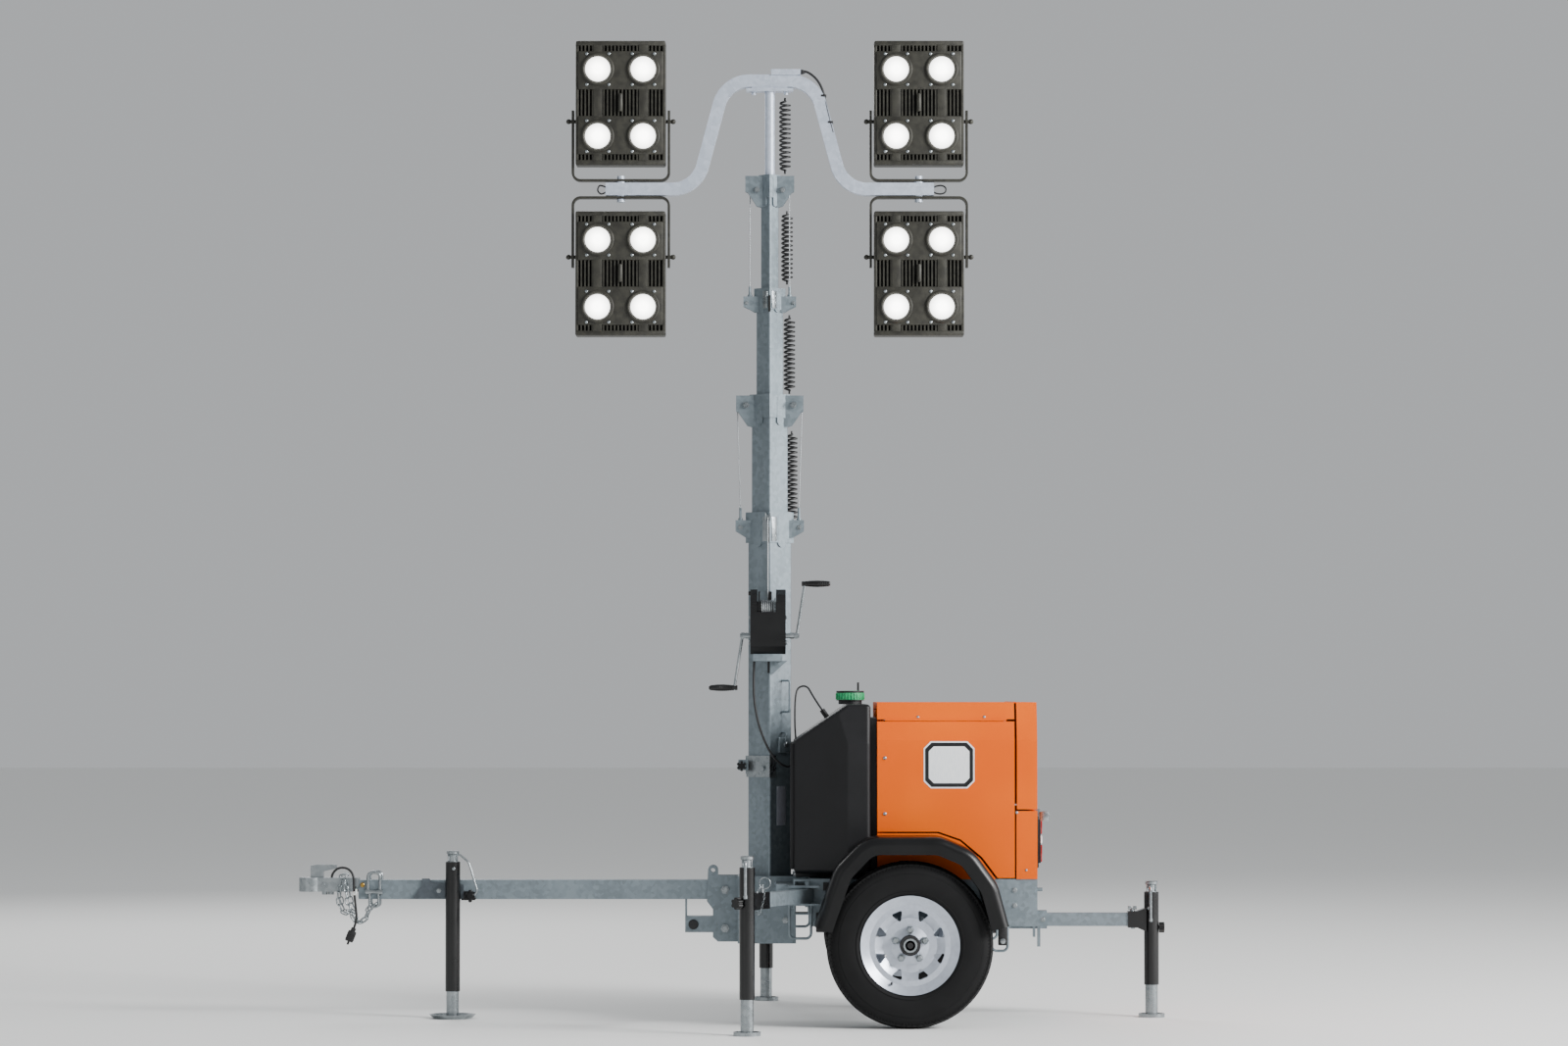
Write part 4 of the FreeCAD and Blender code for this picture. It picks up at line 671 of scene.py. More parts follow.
# Tyres: radial rubber with a five-rib tread, grooves 5 mm deep, sipes at the shoulders and a
# plain side wall with rings of fine ribs. The tread blocks repeat round the wheel.
AXLE_X = 0.663
AXLE_Z = 0.307
TYRE_INNER_Y = 0.510
TREAD_STEPS = 90


def tread_rubber():
    """Tyre rubber: near black, matt, greyer where it is scuffed."""
    material, tree, shader = start_material("moulded_tyre_rubber", {"IOR": 1.5, "Specular IOR Level": 0.25})
    broad = object_noise(tree, 14.0, 4.0)
    tree.links.new(between(tree, broad, "#060607", "#0E0E0F"), shader.inputs["Base Color"])
    tree.links.new(spread(tree, broad, 0.62, 0.82), shader.inputs["Roughness"])
    relief(tree, shader, object_noise(tree, 500.0, 2.0), 0.0003, 0.6)
    return material


def ring_tree():
    """A tree that repeats one mesh round the Y axis: count and the mesh's object are its inputs."""
    tree = bpy.data.node_groups.new("round_the_wheel", "GeometryNodeTree")
    for name, kind in (("Count", "NodeSocketInt"), ("Block", "NodeSocketObject"), ("Finish", "NodeSocketMaterial")):
        tree.interface.new_socket(name=name, in_out="INPUT", socket_type=kind)
    tree.interface.new_socket(name="Geometry", in_out="OUTPUT", socket_type="NodeSocketGeometry")
    given = tree.nodes.new("NodeGroupInput")
    block = add_node(tree, "GeometryNodeObjectInfo", {"Object": given.outputs["Block"]})
    line = add_node(tree, "GeometryNodeMeshLine", {"Count": given.outputs["Count"], "Offset": (0.0, 0.0, 0.0)})
    number = add_node(tree, "GeometryNodeInputIndex").outputs[0]
    step = add_node(tree, "ShaderNodeMath", {0: 2 * math.pi, 1: given.outputs["Count"]}, operation="DIVIDE").outputs[0]
    angle = add_node(tree, "ShaderNodeMath", {0: number, 1: step}, operation="MULTIPLY").outputs[0]
    turned = add_node(tree, "ShaderNodeCombineXYZ", {"Y": angle}).outputs[0]
    copies = add_node(tree, "GeometryNodeInstanceOnPoints", {"Points": line.outputs[0], "Instance": block.outputs["Geometry"], "Rotation": turned})
    real = add_node(tree, "GeometryNodeRealizeInstances", {"Geometry": copies.outputs[0]})
    coated = add_node(tree, "GeometryNodeSetMaterial", {"Geometry": real.outputs[0], "Material": given.outputs["Finish"]})
    add_node(tree, "NodeGroupOutput", {"Geometry": coated.outputs[0]})
    return tree


def repeated_round(shape, block, count, material):
    """Adds copies of a small bmesh round the Y axis."""
    mesh = bpy.data.meshes.new("block")
    block.to_mesh(mesh)
    block.free()
    carrier = bpy.data.objects.new("block", mesh)
    bpy.context.scene.collection.objects.link(carrier)
    bpy.context.view_layer.update()
    shape.from_mesh(grown("ring", round_tree, {"Count": count, "Block": carrier, "Finish": material}))
    bpy.data.objects.remove(carrier)


round_tree = ring_tree()
tyre_rubber = tread_rubber()
TYRE_PROFILE = (  # distance out from the inner face, radius
    (0.014, 0.176), (0.006, 0.190), (0.001, 0.215), (0.001, 0.240), (0.004, 0.262), (0.010, 0.280),
    (0.016, 0.291), (0.028, 0.2995), (0.052, 0.302), (0.128, 0.302), (0.152, 0.2995), (0.164, 0.291),
    (0.170, 0.280), (0.1745, 0.268), (0.1745, 0.264), (0.1762, 0.263), (0.179, 0.240), (0.179, 0.215),
    (0.1765, 0.200), (0.1785, 0.1985), (0.1775, 0.193), (0.174, 0.188), (0.166, 0.176),
)
TREAD_RIBS = ((0.016, 0.040, 0.3045), (0.046, 0.066, 0.3068), (0.072, 0.108, 0.307), (0.114, 0.134, 0.3068), (0.140, 0.164, 0.3045))


def tyre(side):
    """One tyre; side is -1 for the near one."""
    shape = bmesh.new()
    part = bmesh.new()
    sides = 96
    rings = []
    for out, radius in TYRE_PROFILE:
        y = side * (TYRE_INNER_Y + out)
        rings.append([part.verts.new((radius * math.cos(a), y, radius * math.sin(a))) for a in (2 * math.pi * i / sides for i in range(sides))])
    for a, b in zip(rings, rings[1:] + rings[:1]):
        for i in range(sides):
            j = (i + 1) % sides
            part.faces.new((a[i], a[j], b[j], b[i]))
    pour(part, shape)
    for number, (low, high, radius) in enumerate(TREAD_RIBS):
        block = bmesh.new()
        slant = 0.0022 * (number - 2)
        half = math.pi * radius / TREAD_STEPS * 0.86
        edge = 0.0065 if number in (0, 4) else 0.0
        low_r = radius - 0.009
        for end in (-1, 1):
            for y in (low, high):
                drop = edge if (number == 0 and y == low) or (number == 4 and y == high) else 0.0
                shift = slant * (1 if y == high else -1)
                block.verts.new((end * half + shift, side * (TYRE_INNER_Y + y), radius - drop))
                block.verts.new((end * half + shift, side * (TYRE_INNER_Y + y), low_r - drop))
        v = list(block.verts)
        for face in ((0, 2, 6, 4), (1, 5, 7, 3), (0, 1, 3, 2), (4, 6, 7, 5), (0, 4, 5, 1), (2, 3, 7, 6)):
            block.faces.new([v[i] for i in face])
        repeated_round(shape, block, TREAD_STEPS, tyre_rubber)
    sipe = bmesh.new()
    add_block(sipe, (-0.0022, side * (TYRE_INNER_Y + 0.162) - 0.005, 0.268), (0.0022, side * (TYRE_INNER_Y + 0.168) + 0.005, 0.291), 0.001)
    repeated_round(shape, sipe, 150, tyre_rubber)
    bmesh.ops.translate(shape, vec=(AXLE_X, 0, AXLE_Z), verts=shape.verts)
    name = "near" if side < 0 else "far"
    made = finished("tyre_rubber_" + name, shape, tyre_rubber, "wheel_" + name)
    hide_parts("tyre_" + name)


# Rims: pressed steel discs in silver paint, with plated lug nuts, a black dust cap with a
# turned ring, and a rubber valve stem.
LUG_R = 0.05715


def silver_paint():
    """Silver wheel paint: fine metal flake under lacquer."""
    material, tree, shader = start_material("silver_wheel_paint", {"Metallic": 0.6, "Roughness": 0.34, "Coat Weight": 0.3})
    grain = object_noise(tree, 60.0, 3.0)
    tree.links.new(between(tree, grain, "#B9C0CC", "#C2C9D5"), shader.inputs["Base Color"])
    relief(tree, shader, object_noise(tree, 400.0, 1.0), 0.0001, 0.3)
    return material


wheel_silver = silver_paint()
dress(("rim_near", "rim_far"), wheel_silver)


def add_hexagon(shape, radius, height, place, axis, index=0):
    """Adds a hexagonal nut or bolt head with a chamfered top."""
    profile = ((-0.001, 0.0), (-0.001, radius * 1.25), (0.0015, radius * 1.25), (0.0015, radius))
    top = ((height - radius * 0.12, radius), (height, radius * 0.82), (height, 0.0))
    add_turned(shape, profile + top, place, axis, 6, index)


def wheel_fittings(side):
    """Lug nuts, dust cap and valve of one wheel."""
    name = "near" if side < 0 else "far"
    shape = bmesh.new()
    face = side * 0.672
    for number in range(5):
        angle = 2 * math.pi * number / 5
        x = AXLE_X + LUG_R * math.sin(angle)
        z = AXLE_Z + LUG_R * math.cos(angle)
        add_turned(shape, ((-0.030, 0.0), (-0.030, 0.0150), (-0.003, 0.0150), (-0.003, 0.0125), (0.008, 0.0125), (0.012, 0.0085), (0.012, 0.0)), (x, face, z), (0, side, 0), 6)
    cap = ((-0.03, 0.0), (-0.03, 0.0385), (0.010, 0.0385), (0.014, 0.036), (0.014, 0.028), (0.0155, 0.027))
    add_turned(shape, cap + ((0.0155, 0.0),), (AXLE_X, side * 0.671, AXLE_Z), (0, side, 0), 32, 1)
    add_turned(shape, ((0.0, 0.0), (0.0, 0.027), (0.0035, 0.0255), (0.0035, 0.019), (0.001, 0.018), (0.001, 0.0)), (AXLE_X, side * 0.6855, AXLE_Z), (0, side, 0), 32, 0)
    add_turned(shape, ((0.0, 0.0), (0.0, 0.012), (0.003, 0.011), (0.003, 0.0)), (AXLE_X, side * 0.6862, AXLE_Z), (0, side, 0), 24, 1)
    stem = [(AXLE_X - 0.066, side * 0.655, AXLE_Z - 0.143), (AXLE_X - 0.067, side * 0.672, AXLE_Z - 0.141), (AXLE_X - 0.069, side * 0.686, AXLE_Z - 0.137)]
    add_tube(shape, stem, 0.0045, 10, index=1)
    finished("wheel_fittings_" + name, shape, [bright_zinc, cable_rubber], "wheel_" + name)


for side in (-1, 1):
    tyre(side)
    wheel_fittings(side)


# Filler cap: moulded green screw cap with grip ribs on a black neck, beside a gauge stalk and
# a cable gland in the tank's slope.
CAP_PLACE = (0.448, -0.290)


def green_moulding():
    """Moulded green polypropylene."""
    material, tree, shader = start_material("moulded_green_polypropylene", {"Roughness": 0.38, "IOR": 1.5})
    grain = object_noise(tree, 90.0)
    tree.links.new(between(tree, grain, "#168A55", "#22A868"), shader.inputs["Base Color"])
    relief(tree, shader, grain, 0.0002, 0.5)
    return material


dress(("filler_cap",), tank_skin)
shape = bmesh.new()
CAP_TURNED = ((1.206, 0.0), (1.206, 0.050), (1.209, 0.0525), (1.234, 0.0525), (1.2405, 0.047), (1.2430, 0.030), (1.2430, 0.0))
add_turned(shape, [(along, r) for along, r in CAP_TURNED], (*CAP_PLACE, 0.0), (0, 0, 1), 40)
for number in range(30):
    angle = 2 * math.pi * number / 30
    turn = Matrix.Translation((*CAP_PLACE, 0.0)) @ Matrix.Rotation(angle, 4, "Z")
    add_block(shape, (0.0515, -0.0018, 1.210), (0.0545, 0.0018, 1.233), 0.0008, turn)
finished("green_filler_cap", shape, green_moulding(), "trailer")


# Bolts and screws: plated hexagon bolts on washers and small domed screws, which hold the
# plates, pulleys, brackets and panels. One tree sets them on their places, facing outwards.
HEX_BOLTS = {  # body: place in metres, outward direction, radius
    "trailer": (
        ((-0.025, -0.0545, 0.486), (0, -1, 0), 0.0125),
        ((-0.025, -0.0545, 0.339), (0, -1, 0), 0.0125),
        ((-0.025, 0.0545, 0.486), (0, 1, 0), 0.0125),
        ((-0.025, 0.0545, 0.339), (0, 1, 0), 0.0125),
        ((0.204, -0.118, 0.373), (0, -1, 0), 0.0095),
        ((0.204, 0.118, 0.373), (0, 1, 0), 0.0095),
        ((-1.114, -0.0475, 0.482), (0, -1, 0), 0.007),
        ((1.0587, -0.446, 0.501), (0, -1, 0), 0.008),
        ((1.0587, -0.446, 0.4446), (0, -1, 0), 0.008),
        ((1.0587, 0.446, 0.501), (0, 1, 0), 0.008),
        ((1.0587, 0.446, 0.4446), (0, 1, 0), 0.008),
        ((1.185, -0.034, 0.372), (0, -1, 0), 0.008),
        ((1.185, 0.034, 0.372), (0, 1, 0), 0.008),
        ((-1.5545, -0.036, 0.504), (0, -1, 0), 0.009),
        ((-1.5545, 0.036, 0.504), (0, 1, 0), 0.009),
        ((0.613, -0.446, 0.392), (0, -1, 0), 0.009),
        ((0.713, -0.446, 0.392), (0, -1, 0), 0.009),
        ((0.613, 0.446, 0.392), (0, 1, 0), 0.009),
        ((0.713, 0.446, 0.392), (0, 1, 0), 0.009),
    ),
    "mast_1": (
        ((0.0333, -0.018, 1.8665), (0, -1, 0), 0.0075),
        ((0.2567, -0.018, 1.8665), (0, -1, 0), 0.0075),
        ((0.0333, 0.018, 1.8665), (0, 1, 0), 0.0075),
        ((0.2567, 0.018, 1.8665), (0, 1, 0), 0.0075),
        ((0.1201, -0.0716, 0.948), (-1, -1, 0), 0.010),
        ((0.072, -0.150, 1.425), (-1, 0, 0), 0.008),
        ((0.206, -0.150, 1.425), (1, 0, 0), 0.008),
        ((0.072, -0.168, 1.520), (-1, 0, 0), 0.006),
        ((0.206, -0.168, 1.520), (1, 0, 0), 0.006),
        ((0.072, -0.120, 1.520), (-1, 0, 0), 0.006),
        ((0.206, -0.120, 1.520), (1, 0, 0), 0.006),
    ),
    "mast_2": (
        ((0.054, -0.024, 2.335), (0, -1, 0), 0.010),
        ((0.236, -0.024, 2.335), (0, -1, 0), 0.010),
        ((0.054, 0.024, 2.335), (0, 1, 0), 0.010),
        ((0.236, 0.024, 2.335), (0, 1, 0), 0.010),
    ),
    "mast_3": (
        ((0.056, -0.016, 2.726), (0, -1, 0), 0.0065),
        ((0.234, -0.016, 2.726), (0, -1, 0), 0.0065),
        ((0.056, 0.016, 2.726), (0, 1, 0), 0.0065),
        ((0.234, 0.016, 2.726), (0, 1, 0), 0.0065),
    ),
    "mast_4": (
        ((0.096, -0.024, 3.160), (0, -1, 0), 0.009),
        ((0.194, -0.024, 3.160), (0, -1, 0), 0.009),
        ((0.096, 0.024, 3.160), (0, 1, 0), 0.009),
        ((0.194, 0.024, 3.160), (0, 1, 0), 0.009),
    ),
    "rear_beam": (
        ((1.531, 0.0, 0.342), (0, 0, -1), 0.008),
        ((1.590, -0.0295, 0.415), (0, -1, 0), 0.005),
    ),
}
DOME_SCREWS = {
    "trailer": (
        ((0.699, -0.4225, 1.145), (0, -0.93, 0.37), 0.0055),
        ((0.9467, -0.4225, 1.145), (0, -0.93, 0.37), 0.0055),
        ((0.699, 0.4225, 1.145), (0, 0.93, 0.37), 0.0055),
        ((0.9467, 0.4225, 1.145), (0, 0.93, 0.37), 0.0055),
        ((1.101, -0.450, 0.575), (0, -1, 0), 0.005),
        ((1.101, 0.450, 0.575), (0, 1, 0), 0.005),
        ((1.066, -0.450, 0.789), (0, -1, 0), 0.006),
        ((1.066, 0.450, 0.789), (0, 1, 0), 0.006),
    ),
    "door_near": (
        ((0.575, -0.450, 0.992), (0, -1, 0), 0.007),
        ((0.575, -0.450, 0.7845), (0, -1, 0), 0.007),
    ),
    "door_far": (
        ((0.575, 0.450, 0.992), (0, 1, 0), 0.007),
        ((0.575, 0.450, 0.7845), (0, 1, 0), 0.007),
    ),
}


def bolt_tree():
    """A tree that sets a head on each point: the head's object and the finish are its inputs."""
    tree = bpy.data.node_groups.new("heads_on_points", "GeometryNodeTree")
    tree.interface.new_socket(name="Geometry", in_out="INPUT", socket_type="NodeSocketGeometry")
    tree.interface.new_socket(name="Head", in_out="INPUT", socket_type="NodeSocketObject")
    tree.interface.new_socket(name="Finish", in_out="INPUT", socket_type="NodeSocketMaterial")
    tree.interface.new_socket(name="Geometry", in_out="OUTPUT", socket_type="NodeSocketGeometry")
    given = tree.nodes.new("NodeGroupInput")
    head = add_node(tree, "GeometryNodeObjectInfo", {"Object": given.outputs["Head"]})
    outward = add_node(tree, "GeometryNodeInputNamedAttribute", {"Name": "outward"}, data_type="FLOAT_VECTOR").outputs[0]
    radius = add_node(tree, "GeometryNodeInputNamedAttribute", {"Name": "head_radius"}, data_type="FLOAT").outputs[0]
    turned = add_node(tree, "FunctionNodeAlignRotationToVector", {"Vector": outward}, axis="Z").outputs[0]
    points = add_node(tree, "GeometryNodeMeshToPoints", {"Mesh": given.outputs["Geometry"]})
    copies = add_node(tree, "GeometryNodeInstanceOnPoints", {"Points": points.outputs[0], "Instance": head.outputs["Geometry"],
                                                             "Rotation": turned, "Scale": radius})
    real = add_node(tree, "GeometryNodeRealizeInstances", {"Geometry": copies.outputs[0]})
    coated = add_node(tree, "GeometryNodeSetMaterial", {"Geometry": real.outputs[0], "Material": given.outputs["Finish"]})
    add_node(tree, "NodeGroupOutput", {"Geometry": coated.outputs[0]})
    return tree


def set_heads(kind, tables, profile, sides):
    """Sets one kind of head on its places, a mesh for each body."""
    head_shape = bmesh.new()
    add_turned(head_shape, profile, (0, 0, 0), (0, 0, 1), sides)
    head_mesh = bpy.data.meshes.new("head")
    head_shape.to_mesh(head_mesh)
    head_shape.free()
    head = bpy.data.objects.new("head", head_mesh)
    bpy.context.scene.collection.objects.link(head)
    bpy.context.view_layer.update()
    for body, rows in tables.items():
        base = bpy.data.meshes.new("places")
        base.from_pydata([row[0] for row in rows], [], [])
        base.attributes.new("outward", "FLOAT_VECTOR", "POINT")
        base.attributes.new("head_radius", "FLOAT", "POINT")
        for number, row in enumerate(rows):
            base.attributes["outward"].data[number].vector = Vector(row[1]).normalized()
            base.attributes["head_radius"].data[number].value = row[2]
        shape = bmesh.new()
        shape.from_mesh(grown(kind, heads_tree, {"Head": head, "Finish": bright_zinc}, base))
        finished(f"{kind}_{body}", shape, bright_zinc, body)
    bpy.data.objects.remove(head)


heads_tree = bolt_tree()
HEX_HEAD = ((-0.1, 0.0), (-0.1, 1.35), (0.14, 1.35), (0.14, 1.0), (0.7, 1.0), (0.82, 0.86), (0.82, 0.0))
DOME_HEAD = ((-0.1, 0.0), (-0.1, 1.0), (0.12, 1.0), (0.4, 0.8), (0.55, 0.45), (0.42, 0.4), (0.42, 0.0))
set_heads("hexagon_bolts", HEX_BOLTS, HEX_HEAD, 6)
set_heads("domed_screws", DOME_SCREWS, DOME_HEAD, 16)


# Safety chains: plated steel chain of 34 mm links, welded from 5.5 mm wire, on double
# shackles at the drawbar's end. They follow the links of the model one by one.
LINK_PITCH = 0.024
CHAIN_ROUTE = (
    (-1.361, -0.052, 0.428), (-1.383, -0.050, 0.412), (-1.393, -0.044, 0.382), (-1.416, -0.040, 0.352),
    (-1.437, -0.040, 0.374), (-1.455, -0.048, 0.408), (-1.464, -0.052, 0.384), (-1.488, -0.054, 0.418),
    (-1.499, -0.054, 0.458), (-1.488, -0.054, 0.512), (-1.476, -0.056, 0.548), (-1.466, -0.066, 0.500),
    (-1.462, -0.068, 0.448), (-1.446, -0.074, 0.412),
)


def link_ring(length, width, wire, steps=4):
    """Middle line of a long oval link in the X and Y plane."""
    straight = (length - width) / 2
    bend = (width - wire) / 2
    ring = []
    for side in (1, -1):
        for number in range(steps + 1):
            angle = math.pi * number / steps - math.pi / 2
            ring.append(Vector((side * (straight + bend * math.cos(angle)), side * bend * math.sin(angle), 0)))
    return ring


def add_chain(shape, route, pitch, length, width, wire, sides=8, mirror=1, index=0):
    """Adds links along a route, each turned a quarter from the one before."""
    corners = [Vector(p) for p in route]
    centres = [corners[0]]
    for start, finish in zip(corners, corners[1:]):
        steps = max(1, int((finish - start).length * 1000))
        for number in range(steps):
            place = start.lerp(finish, (number + 1) / steps)
            if (place - centres[-1]).length >= pitch:
                centres.append(place)
    for number, centre in enumerate(centres):
        ahead = (centres[min(number + 1, len(centres) - 1)] - centres[max(number - 1, 0)]).normalized()
        turn = Vector((1, 0, 0)).rotation_difference(ahead).to_matrix() @ Matrix.Rotation(math.pi / 2 * (number % 2), 3, "X")
        ring = [centre + turn @ p for p in link_ring(length, width, wire)]
        add_tube(shape, [(p.x, p.y * mirror, p.z) for p in ring], wire / 2, sides, closed=True, index=index)


def rounded_route(corners, bend, steps=5):
    """A line through corners that are rounded off by a given setback."""
    places = [Vector(p) for p in corners]
    line = [places[0]]
    for before, corner, after in zip(places, places[1:], places[2:]):
        start = corner + (before - corner).normalized() * bend
        finish = corner + (after - corner).normalized() * bend
        for number in range(steps + 1):
            t = number / steps
            line.append(start * (1 - t) ** 2 + corner * (2 * t * (1 - t)) + finish * t ** 2)
    line.append(places[-1])
    return line


shape = bmesh.new()
for side in (1, -1):
    add_chain(shape, CHAIN_ROUTE, LINK_PITCH, 0.034, 0.020, 0.0055, mirror=side)
    y = -0.0445 * side
    for left, right, pin_end, bow, radius, bend in ((-1.384, -1.338, 0.474, 0.552, 0.006, 0.02), (-1.378, -1.344, 0.482, 0.420, 0.005, 0.015)):
        add_tube(shape, rounded_route([(left, y, pin_end), (left, y, bow), (right, y, bow), (right, y, pin_end)], bend), radius, 12)
        for x in (left, right):
            add_turned(shape, ((-0.008, 0.0), (-0.008, radius * 1.7), (0.008, radius * 1.7), (0.008, 0.0)), (x, y, 0.478), (1, 0, 0), 16)
    add_turned(shape, ((0.0, 0.0), (0.0, 0.009), (0.005, 0.009), (0.006, 0.007), (0.060, 0.007), (0.060, 0.0105), (0.066, 0.0105), (0.066, 0.0)),
               (-1.394, y, 0.478), (1, 0, 0), 16)
chains = finished("safety_chain_links", shape, bright_zinc, "trailer", smooth=50.0)
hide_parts("safety_chains")


# Coupler fittings: a brass-faced grease nipple and a pale tie on the trailer cable.
def brass():
    """Turned brass, slightly tarnished."""
    material, tree, shader = start_material("turned_brass", {"Metallic": 1.0, "Roughness": 0.3})
    tree.links.new(between(tree, object_noise(tree, 200.0), "#A8823A", "#D2AC5C"), shader.inputs["Base Color"])
    return material


def nylon_tie():
    """Natural nylon: milky white and slightly waxy."""
    material, tree, shader = start_material("natural_nylon", {"Roughness": 0.4, "IOR": 1.53, "Subsurface Weight": 0.1})
    tree.links.new(between(tree, object_noise(tree, 150.0), "#E6E6DF", "#F6F6F2"), shader.inputs["Base Color"])
    return material


brass_turned = brass()
white_nylon = nylon_tie()
shape = bmesh.new()
add_turned(shape, ((0.0, 0.0), (0.0, 0.009), (0.004, 0.009), (0.006, 0.006), (0.012, 0.005), (0.012, 0.0)), (-1.405, -0.0373, 0.504), (0, -1, 0), 20)
finished("coupler_nipple", shape, brass_turned, "trailer")
shape = bmesh.new()
add_block(shape, (-1.4385, -0.067, 0.466), (-1.4265, -0.053, 0.480), 0.0015, index=0)
add_block(shape, (-1.430, -0.0700, 0.470), (-1.424, -0.0645, 0.490), 0.001, index=0)
finished("cable_tie", shape, white_nylon, "trailer")


# Jack crowns: the zinc-plated screw heads on top of the black jack tubes, with the bent
# crank rod that folds down beside the tube.
JACK_CROWNS = (  # name, body, X, Y, tube top, crown top
    ("front", "trailer", -1.059, -0.072, 0.593, 0.634),
    ("rear", "rear_beam", 1.601, 0.0, 0.476, 0.517),
    ("side_near", "outrigger_near", 0.066, -1.0, 0.605, 0.646),
    ("side_far", "outrigger_far", 0.128, 1.0, 0.605, 0.646),
)
FRONT_CRANK = ((-1.050, -0.074, 0.622), (-1.033, -0.078, 0.621), (-0.998, -0.085, 0.592), (-0.964, -0.092, 0.482), (-0.976, -0.094, 0.467))
for name, body, x, y, high, crown in JACK_CROWNS:
    shape = bmesh.new()
    profile = ((high - 0.001, 0.0), (high - 0.001, 0.0245), (high + 0.002, 0.0245), (high + 0.003, 0.0165), (crown - 0.014, 0.0168),
               (crown - 0.0125, 0.0225), (crown - 0.011, 0.0242), (crown - 0.002, 0.0242), (crown + 0.0004, 0.022), (crown + 0.0004, 0.0))
    add_turned(shape, profile, (x, y, 0), (0, 0, 1), 28)
    side = -1 if y <= 0 else 1
    knee = y + side * 0.045
    route = [(x - 0.006, y, high + 0.020), (x - 0.006, knee, high + 0.020), (x - 0.006, knee, high - 0.1105)]
    if name == "front":
        add_tube(shape, rounded_route(FRONT_CRANK, 0.010), 0.0040, 12)
        add_turned(shape, ((-0.001, 0.0), (-0.001, 0.0062), (0.002, 0.0058), (0.0035, 0.0035), (0.0035, 0.0)), (x + 0.005, y - 0.028, 0.5675), (0, -1, 0), 16)
    else:
        add_tube(shape, rounded_route(route, 0.012), 0.0054, 12)
        add_turned(shape, ((0.0, 0.0), (0.0, 0.0075), (0.012, 0.0075), (0.012, 0.0)), (x - 0.006, knee, high - 0.1115), (0, 0, 1), 16)
    for angle in (0.0, 2.1, 4.2):
        out = Vector((math.cos(angle), math.sin(angle), 0))
        add_block(shape, (-0.003, -0.004, high + 0.003), (0.003, 0.0215, crown - 0.012), 0.001,
                  Matrix.Translation((x, y, 0)) @ Matrix.Rotation(angle, 4, "Z"))
    finished("jack_crown_" + name, shape, bright_zinc, body)


# Locking pins: a ring pin on a fine chain locks the near side arm in its socket, and a wing bolt
# stands on the rear socket.
shape = bmesh.new()
ring = [(0.130 + 0.020 * math.cos(a), -0.955, 0.547 + 0.020 * math.sin(a)) for a in (2 * math.pi * i / 24 for i in range(24))]
add_tube(shape, ring, 0.0016, 8, closed=True)
add_turned(shape, ((0.0, 0.0), (0.0, 0.006), (0.030, 0.006), (0.030, 0.0)), (0.120, -0.945, 0.512), (0, 0, 1), 16)
fine_route = ((0.112, -0.962, 0.530), (0.098, -0.976, 0.500), (0.098, -0.982, 0.455), (0.105, -0.984, 0.428), (0.116, -0.982, 0.452),
              (0.127, -0.976, 0.492), (0.130, -0.965, 0.527))
add_chain(shape, fine_route, 0.0095, 0.0125, 0.008, 0.0018, 6)
finished("ring_pin_near", shape, bright_zinc, "outrigger_near", smooth=50.0)
shape = bmesh.new()
add_turned(shape, ((0.0, 0.0), (0.0, 0.009), (0.006, 0.009), (0.007, 0.005), (0.012, 0.005), (0.012, 0.0)), (1.528, 0.0, 0.4025), (0, 0, 1), 20)
for wing in (-1, 1):
    add_block(shape, (-0.0015, 0.003, 0.0), (0.0015, 0.017, 0.013), 0.001, Matrix.Translation((1.528, 0, 0.409)) @ Matrix.Rotation(math.pi / 2 * wing, 4, "Z"))
finished("wing_bolt_rear", shape, bright_zinc, "rear_beam")


# Cabinet trim: a blank octagonal aluminium plate on each door, a plated latch handle at the
# rear and black rubber bumpers under the fenders' rear ends.
PLATE_MIDDLE = (0.8145, 0.9668)
PLATE_HALF = (0.0945, 0.0875)
PLATE_CUT = 0.026


def anodised_plate(name, dark, light, metallic):
    """A coated aluminium plate with a fine upright grain."""
    material, tree, shader = start_material(name, {"Roughness": 0.35, "Metallic": metallic})
    grain = object_noise(tree, 60.0, 2.0, (8.0, 8.0, 0.6))
    tree.links.new(between(tree, grain, dark, light), shader.inputs["Base Color"])
    return material


def add_prism(shape, outline, axis, low, high, index=0):
    """Adds a prism: the outline's two numbers go to the axes other than the given one."""
    part = bmesh.new()
    rings = []
    for level in (low, high):
        places = [list(pair[:axis]) + [level] + list(pair[axis:]) for pair in outline]
        rings.append([part.verts.new(place) for place in places])
        part.faces.new(rings[-1])
    for i in range(len(outline)):
        j = (i + 1) % len(outline)
        part.faces.new((rings[0][i], rings[0][j], rings[1][j], rings[1][i]))
    pour(part, shape, None, index)


def octagon(half_x, half_z, cut):
    """Corners of an octagon in X and Z."""
    quarter = [(half_x, half_z - cut), (half_x - cut, half_z)]
    quarter += [(-x, z) for x, z in reversed(quarter)]
    return quarter + [(-x, -z) for x, z in quarter]


